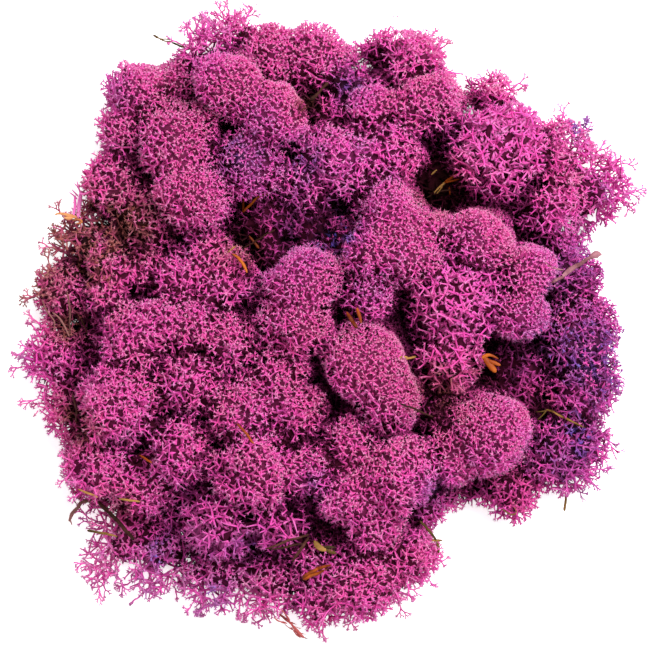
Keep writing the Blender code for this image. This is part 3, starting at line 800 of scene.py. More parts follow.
def add_tips(bone, form, exposure, habit, look, rng, seed):
    """Adds the stars on a cushion's form and its free sprigs, and returns the stars as a level."""
    places, ways, spacing, openness, seen = tips_on(form, exposure, habit, look, rng, seed)
    number = len(places)
    curd = ripple(places, 3.5 * MM, seed + 2)
    uneven = rng.uniform(0, 1, number) ** 1.5
    depth = 0.3 * spacing + habit.raggedness * (0.3 + 0.7 * openness) * (uneven - 0.35) * MM
    depth -= look.curd_height * curd
    out = unit(ways + 0.3 * unit(np.array(look.growth_way)) + 0.25 * rng.normal(size=(number, 3)))
    tips = places - ways * depth[:, None]
    tips[:, 2] = np.maximum(tips[:, 2], LEAST_TIP_HEIGHT)
    hue = np.clip(hue_of(tips, openness) + 0.03 * rng.normal(size=number), *HUE_RANGE)
    # Painted shade: stems and tips are darker where little sky is seen, on a shaded cushion and deep in a
    # pit.
    light = habit.shade * (0.25 + 0.75 * blended(seen, 0.08, 0.6)) * painted_light_in_pits(places, 0.6)
    # Tips are paler on dense caps, with a painted highlight on top of the curds, and dimmed by the painted
    # shade.
    pale = clamp01((0.95 - 0.3 * openness + 0.1 * curd + 0.15 * rng.normal(size=number)) * light)
    girth = look.branch_girth * (0.85 + 0.65 * openness)
    size = np.clip(0.6 * spacing, *look.star_size) * rng.uniform(0.85, 1.15, number)
    stem = 0.5 * light * (1 + 0.2 * rng.normal(size=number))
    indices = bone.add(tips, 0.75 * girth, stem, hue, size, out, pale)

    outside = (ways * unit(places * (1, 1, 0))).sum(1) > 0.35
    free = np.flatnonzero((seen > 0.7) & outside)
    sprigs = int(habit.sprigs * len(free) * look.sprig_share)
    for index in rng.permutation(free)[:sprigs]:
        way = unit(ways[index] * (1, 1, 0.5) + 0.3 * rng.normal(size=3))
        way[2] = abs(way[2])
        reach, thick = rng.uniform(*SPRIG_REACH), SPRIG_GIRTH * look.branch_girth
        sprig = add_sprig(bone, tips[index], way, reach, thick, SPRIG_FORKS, 0.5, hue[index], rng)
        bone.connect(sprig, indices[index : index + 1])
    return Level(indices, tips, -out, spacing, girth, stem, hue)


def add_forks(bone, above, step, habit, look, rng):
    """Joins the branches of a level in forks below it, and returns the forks as the next level."""
    order = rng.permutation(len(above.points))
    seeds = thinned(above.points, above.gaps * look.fork_spread, order)
    groups, count = nearest(above.points, above.points[seeds]), len(seeds)

    def mean(values):
        return group_means(values, groups, count)

    gaps = mean(above.gaps) * look.fork_spread
    inward = unit(mean(above.inward) + np.array([0, 0, -DROOP_A_LEVEL * (step + 1)]))
    points = mean(above.points) + inward * (look.fork_depth * gaps)[:, None]
    points[:, 2] = np.maximum(points[:, 2], LEAST_FORK_HEIGHT)
    girths = mean(above.girths) * WIDER_A_LEVEL
    # Painted shade: each level of forks keeps only a share of the light of the level above.
    kept = LACE_KEPT if habit.lace else UPPER_KEPT if step < 2 else LOWER_KEPT
    shades = mean(above.shades) * kept
    shades *= 1 + 0.15 * rng.normal(size=count)
    hues = mean(above.hues)
    indices = bone.add(points, girths, shades, hues)

    open_gap = OPEN_NET * look.tip_spacing * look.fork_spread**step
    bent = (step > 0) & ((above.gaps > open_gap) | (step > 1))
    bone.connect(above.indices[~bent], indices[groups[~bent]])
    if step > 0:
        into = groups[bent]
        halves = (above.points[bent] + points[into]) / 2
        reach = np.linalg.norm(above.points[bent] - points[into], axis=1)
        halves += BEND * reach[:, None] * rng.normal(size=halves.shape)
        halves[:, 2] = np.maximum(halves[:, 2], LEAST_BEND_HEIGHT)
        half_girths = (bone.girths_at(above.indices[bent]) + girths[into]) / 2
        # Painted light: a bend, halfway up to its branch, is brighter than its fork.
        bends = bone.add(halves, half_girths, 1.12 * shades[into], hues[into])
        bone.connect(above.indices[bent], bends)
        bone.connect(bends, indices[into])
    if step < look.woven_levels:
        woven = gaps > open_gap * look.fork_spread
        bone.connect(*crossings(points[woven], gaps[woven], indices[woven]))
    return Level(indices, points, inward, gaps, girths, shades, hues)


def grown_skeleton(form, core, exposure, habit, look, seed):
    """The branches of one cushion, from its star points down to its cut base."""
    rng = np.random.default_rng(seed)
    bone = Skeleton()
    level = add_tips(bone, form, exposure, habit, look, rng, seed)
    for step in range(FORK_LEVELS):
        if len(level.points) < FEWEST_FORKS:
            break
        level = add_forks(bone, level, step, habit, look, rng)
    feet = level.points.copy()
    feet[:, :2] += 0.15 * (level.points[:, :2].mean(0) - level.points[:, :2])
    feet[:, 2] = FOOT_HEIGHT
    # Painted shade: the feet are darker still.
    bone.connect(level.indices, bone.add(feet, level.girths, level.shades * 0.8, level.hues))
    add_inner_stars(bone, core, exposure, habit, look, rng)
    return bone.mesh(hidden_in(core, np.concatenate(bone.points)))


def hidden_in(core, points):
    """Which points lie well inside the dark heart, where nothing of them shows."""
    solid = solid_of([core])
    hidden = []
    for point in points:
        place, normal, _, away = solid.find_nearest(Vector(point))
        hidden.append(away > HIDDEN_DEPTH and (Vector(point) - place).dot(normal) < 0)
    return np.array(hidden)


def crossings(points, gaps, indices):
    """Pairs of neighbouring forks, whose branches lean on each other or grew together."""
    tree = tree_of(points)
    ends, starts = [], []
    for index, point in enumerate(points):
        for _, other, away in tree.find_n(point, 3):
            if other > index and away < 1.3 * gaps[index]:
                ends.append(indices[index])
                starts.append(indices[other])
    return np.array(ends, int), np.array(starts, int)


def add_sprig(bone, start, way, reach, girth, forks, shade, hue, rng):
    """A free branch that forks again and again and ends in stars."""
    end = start + reach * way
    end[2] = max(end[2], LEAST_FORK_HEIGHT)
    last = forks == 0
    size = rng.uniform(*SPRIG_STAR) * MM if last else 0.0
    added = bone.add(end[None], girth, shade, hue, size, way, min(1.2 * shade, 1.0))
    if not last:
        side = unit(np.cross(way, rng.normal(size=3)))
        for turn in (1, -1):
            lean = unit(way + turn * rng.uniform(0.35, 0.75) * side + 0.25 * rng.normal(size=3))
            shorter = reach * rng.uniform(0.55, 0.85)
            # Painted light: each twig further out along a sprig is brighter.
            twig = add_sprig(bone, end, lean, shorter, 0.84 * girth, forks - 1, 1.08 * shade, hue, rng)
            bone.connect(twig, added)
    return added


def hue_of(points, openness):
    """Where each point's colour lies between brown (0), salmon pink, cool pink, violet and blue (1)."""
    violet = patched(points, VIOLET_PATCHES) * (0.9 + 0.35 * ripple(points, 5 * MM, 77))
    fleck = blended(ripple(points, 2.2 * MM, 81), -0.2, 0.7)
    blue = patched(points, BLUE_PATCHES) * fleck
    brown = patched(points, BROWN_PATCHES) * (1 + 0.5 * ripple(points, 5 * MM, 78))
    hue = SALMON + 0.14 * openness + 0.03 * ripple(points, 16 * MM, 79) + 0.02 * ripple(points, 3 * MM, 80)
    for place, amount in ((VIOLET, violet), (BLUE, blue), (BROWN, brown)):
        hue += (place - hue) * clamp01(amount)
    return np.clip(hue, *HUE_RANGE)


def core_of(form, exposure, habit, seed):
    """The dark tangle inside a cushion, as a lumpy form within its form, with how much of the sky each
    vertex sees. It meets its neighbours' where nothing shows."""
    mesh = form.copy()
    points, edges = points_of(mesh), edges_of(mesh)
    outward = unit(evened(normals_of(mesh), edges, 6, 0.5, 0.0))
    solid = solid_of([mesh])
    room = []
    for point, way in zip(points, outward):
        away = solid.ray_cast(Vector(point - 0.3 * MM * way), Vector(-way), 0.2)[3]
        room.append(0.0 if away is None else away)
    depth = habit.core_depth + lumps(points, HEART_LUMPS, seed) - HEART_COVER
    depth = HEART_COVER + depth * blended(exposure, 0.0, 0.15)
    depth = np.minimum(depth * MM, 0.46 * np.array(room))
    inner = evened(points - outward * depth[:, None], edges, 1, 0.5, 0.5)
    foot = inner.mean(0) * (1, 1, 0.3)
    outmost = inner[:, :2] @ unit(foot[:2])
    foot[:2] -= unit(foot[:2]) * (foot[:2] @ unit(foot[:2]) - outmost.min())
    inner = foot + (inner - foot) * (1 - habit.lace)
    inner[:, 2] = np.maximum(inner[:, 2], 0.3 * MM)
    set_points(mesh, inner)
    add_numbers(mesh, "exposure", exposure)
    return mesh


def coarser(mesh, share, openness):
    """The mesh with only a share of its faces, in a painted shade that is darkest in an open net."""
    holder = object_from("coarse", mesh)
    thin = holder.modifiers.new("thin", "DECIMATE")
    thin.ratio = share
    made = evaluated_mesh(holder)
    dropped(holder)
    points = points_of(made)
    dense = (1 - openness) ** 3
    # Painted shade: the heart is brighter under a dense cap where much sky is seen, and darker in a pit.
    painted_heart_shade = 0.045 + (0.02 + 0.06 * dense) * blended(numbers_of(made, "exposure"), 0.35, 0.9)
    painted_heart_shade *= painted_light_in_pits(points, 0.8)
    add_numbers(made, "shade", painted_heart_shade)
    add_numbers(made, "hue", hue_of(points, 0.0))
    return made


def add_inner_stars(bone, core, exposure, habit, look, rng):
    """Stars on the dark heart, for the lower branches that show between the outer ones."""

    def spacing_of(places, ways, seen):
        return look.inner_spacing * (1 + 0.1 * habit.openness + 0.5 * clamp01(0.5 - seen))

    places, ways, _, seen = scattered(core, exposure, rng, spacing_of)
    number = len(places)
    # Painted shade: inner stars are darker where little sky is seen, on a shaded cushion and deep in a pit.
    light = habit.shade * (0.2 + 0.8 * blended(seen, 0.1, 0.7)) * painted_light_in_pits(places, 0.6)
    out = unit(ways + 0.45 * rng.normal(size=(number, 3)))
    places = places + 0.5 * MM * ways
    places[:, 2] = np.maximum(places[:, 2], LEAST_INNER_HEIGHT)
    size = look.inner_star * (1 + 0.45 * habit.openness) * rng.uniform(0.8, 1.25, number)
    pale = clamp01((0.5 + 0.15 * habit.openness + 0.1 * rng.normal(size=number)) * light)
    shade = (0.34 + 0.16 * habit.openness) * light
    hue = hue_of(places, habit.openness)
    bone.add(places, INNER_GIRTH, shade, hue, size, out, pale, LAST_INNER_KIND)


# Geometry Nodes


def add_node(tree, kind, inputs=None, **settings):
    """Adds a node. Each of its inputs is linked, where a socket is given for it, and otherwise set."""
    made = tree.nodes.new(kind)
    made.location = (180 * len(tree.nodes), 0)
    for name, value in settings.items():
        setattr(made, name, value)
    for name, value in (inputs or {}).items():
        if isinstance(value, bpy.types.NodeSocket):
            tree.links.new(value, made.inputs[name])
        else:
            made.inputs[name].default_value = value
    return made


def math_of(tree, operation, *values):
    """The result of a Math node on sockets or numbers."""
    return add_node(tree, "ShaderNodeMath", dict(enumerate(values)), operation=operation).outputs[0]


def stored(tree, name, kind="FLOAT"):
    """What the mesh stores under the name."""
    return add_node(tree, "GeometryNodeInputNamedAttribute", {"Name": name}, data_type=kind).outputs[0]


def new_group(name, kind, given, results):
    """A node group with its sockets: each has a kind and, where it has one, a default."""
    tree = bpy.data.node_groups.new(name, kind)
    for way, sockets in (("OUTPUT", results), ("INPUT", given)):
        for title, (held, *default) in sockets.items():
            made = tree.interface.new_socket(name=title, in_out=way, socket_type=f"NodeSocket{held}")
            if default:
                made.default_value = default[0]
    return tree, add_node(tree, "NodeGroupInput").outputs, add_node(tree, "NodeGroupOutput").inputs


def finish_geometry(tree, geometry, given, results):
    """Ends a tree with a smooth, real geometry of the given material."""
    smooth = add_node(tree, "GeometryNodeSetShadeSmooth", {"Geometry": geometry})
    real = add_node(tree, "GeometryNodeRealizeInstances", {"Geometry": smooth.outputs["Geometry"]})
    finish = add_node(
        tree, "GeometryNodeSetMaterial",
        {"Geometry": real.outputs["Geometry"], "Material": given["Material"]},
    )
    tree.links.new(finish.outputs["Geometry"], results["Geometry"])


def branching_tree():
    """Makes tubes along a skeleton's branches and sets a star at each of its star points."""
    sockets = {
        "Skeleton": ("Geometry",), "Core": ("Object",), "Star Kinds": ("Collection",),
        "Tube Sides": ("Int", 3), "Seed": ("Int", 1), "Material": ("Material",),
    }
    tree, given, results = new_group(
        "moss_branches", "GeometryNodeTree", sockets, {"Geometry": ("Geometry",)}
    )
    curves = add_node(tree, "GeometryNodeMeshToCurve", {"Mesh": given["Skeleton"]})
    circle = add_node(
        tree, "GeometryNodeCurvePrimitiveCircle", {"Radius": 1.0, "Resolution": given["Tube Sides"]},
        mode="RADIUS",
    )
    tubes = add_node(tree, "GeometryNodeCurveToMesh", {
        "Curve": curves.outputs["Curve"],
        "Scale": stored(tree, "girth"),
        "Profile Curve": circle.outputs["Curve"],
    })

    kinds = add_node(
        tree, "GeometryNodeCollectionInfo",
        {"Separate Children": True, "Reset Children": True, "Collection": given["Star Kinds"]},
        transform_space="ORIGINAL",
    )
    is_star = add_node(
        tree, "FunctionNodeCompare", {0: stored(tree, "star"), 1: 0.0},
        data_type="FLOAT", operation="GREATER_THAN",
    )
    way = stored(tree, "way", "FLOAT_VECTOR")
    aim = add_node(tree, "FunctionNodeAlignRotationToVector", {"Vector": way}, axis="Z")
    spin = add_node(
        tree, "FunctionNodeRandomValue", {"Max": 2 * math.pi, "Seed": given["Seed"]}, data_type="FLOAT"
    )
    turn = add_node(
        tree, "FunctionNodeAxisAngleToRotation", {"Axis": (0, 0, 1), "Angle": spin.outputs[1]}
    )
    turned = add_node(
        tree, "FunctionNodeRotateRotation",
        {"Rotation": aim.outputs["Rotation"], "Rotate By": turn.outputs["Rotation"]},
        rotation_space="LOCAL",
    )
    pick = add_node(
        tree, "FunctionNodeRandomValue", {4: 0, 5: stored(tree, "last_kind"), "Seed": given["Seed"]},
        data_type="INT",
    )
    place = add_node(tree, "GeometryNodeInstanceOnPoints", {
        "Pick Instance": True,
        "Points": given["Skeleton"],
        "Selection": is_star.outputs["Result"],
        "Instance": kinds.outputs["Instances"],
        "Instance Index": pick.outputs[2],
        "Rotation": turned.outputs["Rotation"],
        "Scale": stored(tree, "star"),
    })
    stars = add_node(tree, "GeometryNodeRealizeInstances", {"Geometry": place.outputs["Instances"]})

    core = add_node(tree, "GeometryNodeObjectInfo", {"Object": given["Core"]}, transform_space="ORIGINAL")
    together = add_node(tree, "GeometryNodeJoinGeometry")
    for part in (tubes.outputs["Mesh"], stars.outputs["Geometry"], core.outputs["Geometry"]):
        tree.links.new(part, together.inputs["Geometry"])
    finish_geometry(tree, together.outputs["Geometry"], given, results)
    return tree


def set_inputs(modifier, **values):
    """Sets a Geometry Nodes modifier's inputs, by the names of their sockets with _ for each space."""
    for item in modifier.node_group.interface.items_tree:
        if item.item_type == "SOCKET" and item.in_out == "INPUT":
            name = item.name.replace(" ", "_").lower()
            if name in values:
                modifier[item.identifier] = values[name]


def star_mesh(spikes, seed):
    """A branch end seen from above as a star: short points round a hollow, on a ring that its stem meets.
    Its points reach about 1 from its middle. Each vertex stores how near it is to a point's end."""
    rng = np.random.default_rng(seed)
    ring = []
    for step in range(spikes):
        angle = 2 * math.pi * (step + 0.25 * rng.uniform(-1, 1)) / spikes
        ring.append((STAR_RING * math.cos(angle), STAR_RING * math.sin(angle), -0.05))
    points = [*ring, (0, 0, 0.3)]
    faces, along = [], [0.0] * spikes + [0.15]
    for step in range(spikes):
        after = (step + 1) % spikes
        here, there = np.array(ring[step]), np.array(ring[after])
        middle = unit((here + there) * (1, 1, 0))
        reach, rise = rng.uniform(*SPIKE_REACH), rng.uniform(*SPIKE_RISE)
        tip = middle * reach + np.array((0, 0, rise)) + 0.1 * rng.normal(size=3)
        end = len(points)
        points.append(tuple(tip))
        along.append(1.0)
        faces += [(step, after, end), (after, spikes, end), (spikes, step, end)]
    mesh = mesh_from(f"star_{seed}", points, faces)
    add_numbers(mesh, "tip", along)
    return mesh


def star_kinds():
    """A collection of different stars, kept out of the scene."""
    kinds = bpy.data.collections.new("star_kinds")
    for number, spikes in enumerate(STAR_SPIKES):
        kinds.objects.link(bpy.data.objects.new(f"star_{number}", star_mesh(spikes, 40 + number)))
    return kinds


# Litter


def along_strand(strand, heights_of, seed):
    """The points along a strand with their girths, tones and distances from its start."""
    corners = np.array(strand.path, float)
    corners = np.stack([corners[:, 0] - PHOTO_MIDDLE, PHOTO_MIDDLE - corners[:, 1]], 1) * PIXEL
    corners -= np.array(MODEL_MIDDLE) * MM
    steps = np.concatenate([[0], np.cumsum(np.linalg.norm(np.diff(corners, axis=0), axis=1))])
    places = np.linspace(0, steps[-1], max(5, int(steps[-1] / STRAND_STEP)))
    level = np.stack([np.interp(places, steps, corners[:, k]) for k in range(2)], 1)
    for _ in range(4):
        level[1:-1] = level[1:-1] / 2 + (level[:-2] + level[2:]) / 4
    points = np.column_stack([level, heights_of(level)])
    points += STRAND_WAVER * np.stack([ripple(points, 3 * MM, seed + k) for k in range(3)], 1)
    share = places / steps[-1]
    ends = np.sqrt(clamp01(np.minimum(places, steps[-1] - places) / STRAND_TAPER) * 0.8 + 0.2)
    girths = np.interp(share, np.linspace(0, 1, len(strand.widths)), strand.widths) * MM / 2 * ends
    tones = np.interp(share, np.linspace(0, 1, len(strand.tones)), strand.tones)
    return points, girths, tones, places


def strand_skeleton(litter, heights_of, seed):
    """A mesh of edges along all strands of a piece of litter."""
    rows, edges, start = [], [], 0
    for number, strand in enumerate(litter.strands):
        points, girths, tones, places = along_strand(strand, heights_of, seed + 10 * number)
        rows.append(np.column_stack([points, girths, tones, places + 0.1 * number]))
        edges += [(start + step, start + step + 1) for step in range(len(places) - 1)]
        start += len(places)
    table = np.concatenate(rows)
    mesh = bpy.data.meshes.new("strands")
    mesh.from_pydata([tuple(row) for row in table[:, :3]], edges, [])
    for column, name in enumerate(("girth", "tone", "along"), 3):
        add_numbers(mesh, name, table[:, column])
    return mesh


def heights_in(node, lift):
    """The height of the node's solid near each place, and a little above it."""
    corners = points_of(frame["nodes"][node].data)

    def heights(level):
        away = np.linalg.norm(corners[None, :, :2] - level[:, None], axis=2)
        weights = 1 / (away + 0.5 * MM) ** 4
        return (weights * corners[None, :, 2]).sum(1) / weights.sum(1) + lift

    return heights


def heights_on(ground, lift):
    """The height of a stiff strand that lies on the cushions near each place."""

    def heights(level):
        tops = []
        for east, north in level:
            place = ground.ray_cast(Vector((east, north, 0.2)), Vector((0, 0, -1)))[0]
            tops.append(math.nan if place is None else place.z)
        tops = np.array(tops)
        held = np.isfinite(tops)
        if not held.any():
            return np.full(len(level), 6 * MM)
        along = np.linalg.norm(level - level[0], axis=1)
        slope = np.polyfit(along[held], tops[held], 1)[0] if held.sum() > 2 else 0.0
        line = np.clip(slope, -0.7, 0.7) * along
        return line + np.median((tops - line)[held]) + lift + 0.4 * max(0, (tops - line)[held].std())

    return heights


def strand_tree():
    """Makes rough round or flat stems along a skeleton's strands."""
    sockets = {
        "Skeleton": ("Geometry",), "Sides": ("Int", 8), "Flatness": ("Float", 1.0),
        "Roughness": ("Float", 0.0), "Grain": ("Float", 900.0), "Material": ("Material",),
    }
    tree, given, results = new_group(
        "litter_strands", "GeometryNodeTree", sockets, {"Geometry": ("Geometry",)}
    )
    curves = add_node(tree, "GeometryNodeMeshToCurve", {"Mesh": given["Skeleton"]})
    upright = add_node(
        tree, "GeometryNodeSetCurveNormal", {"Curve": curves.outputs["Curve"]}, mode="Z_UP"
    )
    circle = add_node(
        tree, "GeometryNodeCurvePrimitiveCircle", {"Radius": 1.0, "Resolution": given["Sides"]},
        mode="RADIUS",
    )
    turned = add_node(tree, "GeometryNodeSplineParameter")
    around = add_node(
        tree, "GeometryNodeStoreNamedAttribute",
        {"Name": "round", "Geometry": circle.outputs["Curve"], "Value": turned.outputs["Factor"]},
        data_type="FLOAT", domain="POINT",
    )
    flat = add_node(tree, "ShaderNodeCombineXYZ", {"X": 1.0, "Y": given["Flatness"], "Z": 1.0})
    section = add_node(
        tree, "GeometryNodeTransform",
        {"Geometry": around.outputs["Geometry"], "Scale": flat.outputs["Vector"]},
    )
    stems = add_node(tree, "GeometryNodeCurveToMesh", {
        "Fill Caps": True,
        "Curve": upright.outputs["Curve"],
        "Profile Curve": section.outputs["Geometry"],
        "Scale": stored(tree, "girth"),
    })
    noise = add_node(tree, "ShaderNodeTexNoise", {"Scale": given["Grain"]})
    bulge = math_of(tree, "MULTIPLY", math_of(tree, "SUBTRACT", noise.outputs[0], 0.5), given["Roughness"])
    normal = add_node(tree, "GeometryNodeInputNormal")
    offset = add_node(
        tree, "ShaderNodeVectorMath", {0: normal.outputs["Normal"], "Scale": bulge}, operation="SCALE"
    )
    moved = add_node(
        tree, "GeometryNodeSetPosition",
        {"Geometry": stems.outputs["Mesh"], "Offset": offset.outputs["Vector"]},
    )
    finish_geometry(tree, moved.outputs["Geometry"], given, results)
    return tree


def litter_piece(name, litter, heights_of, tree, material, seed):
    holder = object_from("strands", strand_skeleton(litter, heights_of, seed))
    grow = holder.modifiers.new("grow", "NODES")
    grow.node_group = tree
    set_inputs(grow, flatness=litter.flatness, roughness=litter.roughness * MM, material=material)
    mesh = evaluated_mesh(holder)
    dropped(holder)
    mesh.name = name
    mesh.attributes.remove(mesh.attributes["girth"])
    return object_from(name, mesh)


# Materials


def grain_group():
    """Streaks along a stem and flecks on it, from its distance along and its turn around."""
    sockets = {
        "Along": ("Float", 0.0), "Round": ("Float", 0.0),
        "Streak Length": ("Float", 4.0), "Fleck Size": ("Float", 0.8),
    }
    tree, given, results = new_group(
        "stem_grain", "ShaderNodeTree", sockets, {"Streak": ("Float",), "Fleck": ("Float",)}
    )
    marks = (("Streak", "Streak Length", 9.0, 3.0), ("Fleck", "Fleck Size", 3.0, 8.0))
    for name, size, turns, seed in marks:
        along = math_of(tree, "DIVIDE", given["Along"], math_of(tree, "MULTIPLY", given[size], MM))
        turn = math_of(tree, "MULTIPLY", given["Round"], turns)
        place = add_node(tree, "ShaderNodeCombineXYZ", {"X": along, "Y": turn, "Z": seed})
        noise = add_node(
            tree, "ShaderNodeTexNoise", {"Scale": 1.0, "Detail": 3.0, "Vector": place.outputs["Vector"]}
        )
        tree.links.new(noise.outputs[0], results[name])
    return tree


def litter_material(name, colours, grain, roughness, variety):
    """A dry stem, needle or scrap: its tone along it, with streaks and flecks."""
    made = plain_material(name, colours[1], roughness, 0.12)
    tree = made.node_tree
    along, turn, tone = (
        add_node(tree, "ShaderNodeAttribute", attribute_name=held).outputs["Fac"]
        for held in ("along", "round", "tone")
    )
    group = add_node(tree, "ShaderNodeGroup", {"Along": along, "Round": turn}, node_tree=grain)
    mixed = math_of(tree, "ADD", group.outputs["Streak"], group.outputs["Fleck"])
    shift = math_of(tree, "MULTIPLY_ADD", mixed, variety, -variety)
    ramp = add_ramp(tree, math_of(tree, "ADD", tone, shift), (0.0, 0.45, 1.0), colours)
    bump = add_node(
        tree, "ShaderNodeBump",
        {"Strength": 0.4, "Distance": 0.1 * MM, "Height": group.outputs["Streak"]},
    )
    shader = tree.nodes["Principled BSDF"]
    tree.links.new(ramp, shader.inputs["Base Color"])
    tree.links.new(bump.outputs["Normal"], shader.inputs["Normal"])
    return made


def plain_material(name, colour, roughness, gloss=0.3):
    made = bpy.data.materials.new(name)
    made.use_nodes = True
    shader = made.node_tree.nodes["Principled BSDF"]
    shader.inputs["Base Color"].default_value = (*colour, 1)
    shader.inputs["Roughness"].default_value = roughness
    shader.inputs["Specular IOR Level"].default_value = gloss
    return made


def add_ramp(tree, place, stops, colours):
    """The colour that a ramp of the colours at the stops has at the place."""
    ramp = add_node(tree, "ShaderNodeValToRGB", {"Fac": place})
    elements = ramp.color_ramp.elements
    while len(elements) < len(stops):
        elements.new(0.5)
    for element, stop, colour in zip(elements, stops, colours):
        element.position = stop
        element.color = (*colour, 1)
    return ramp.outputs["Color"]


def moss_material(look):
    """Dyed moss. The piece's map gives a place between brown, pink, violet and blue across, and between
    the painted shade deep in the heart, the full colour and the pale tips up."""
    made = plain_material("dyed_moss", look.pink, DULL, 0.08)
    tree = made.node_tree
    place = add_node(tree, "ShaderNodeUVMap", uv_map="OFBake")
    split = add_node(tree, "ShaderNodeSeparateXYZ", {"Vector": place.outputs["UV"]})
    across, up = split.outputs["X"], split.outputs["Y"]
    names = ("brown", "salmon", "pink", "violet", "blue")
    pale = add_ramp(tree, across, HUE_STOPS, [getattr(look, f"{name}_tip") for name in names])
    full = add_ramp(tree, across, HUE_STOPS, [getattr(look, name) for name in names])
    # Painted shade: low on the map, the colour darkens towards the heart's colour.
    deep = add_node(
        tree, "ShaderNodeMix", {"Factor": 1.0, 6: full, 7: (*look.heart, 1)},
        data_type="RGBA", blend_type="MULTIPLY",
    )
    low, high = (
        add_node(
            tree, "ShaderNodeMapRange", {"From Min": start, "From Max": end, "Value": up}
        ).outputs["Result"]
        for start, end in ((DARKEST, BRANCH_PLACE), (BRANCH_PLACE, 1.0))
    )
    inner = add_node(tree, "ShaderNodeMix", {0: low, 6: deep.outputs[2], 7: full}, data_type="RGBA")
    outer = add_node(tree, "ShaderNodeMix", {0: high, 6: inner.outputs[2], 7: pale}, data_type="RGBA")
    tree.links.new(outer.outputs[2], tree.nodes["Principled BSDF"].inputs["Base Color"])
    return made


def map_colours(mesh):
    """Gives the mesh its map: its colour's place across, and its painted shade up, to the pale tips.
    Each face is spread a little, so that none is without width there."""
    points = points_of(mesh)
    points[:, 2] = np.maximum(points[:, 2], 0)
    set_points(mesh, points)
    shade, tip, hue, pale = (numbers_of(mesh, name) for name in ("shade", "tip", "hue", "pale"))
    up = np.clip(shade + tip * (pale - shade), 0.01, 0.99)
    spread = MAP_SPREAD * ((np.arange(len(mesh.vertices)) * 0.618034) % 1.0)
    places = np.stack([np.clip(hue + spread, 0.01, 0.99), up + spread], 1).astype(np.float32)
    corners = values_of(mesh.loops, "vertex_index", 1, np.int32)
    layer = mesh.uv_layers.new(name="OFBake")
    layer.uv.foreach_set("vector", places[corners].ravel())
    for name in ("girth", "shade", "hue", "pale", "star", "way", "tip", "exposure", "last_kind"):
        attribute = mesh.attributes.get(name)
        if attribute is not None:
            mesh.attributes.remove(attribute)


# Settings


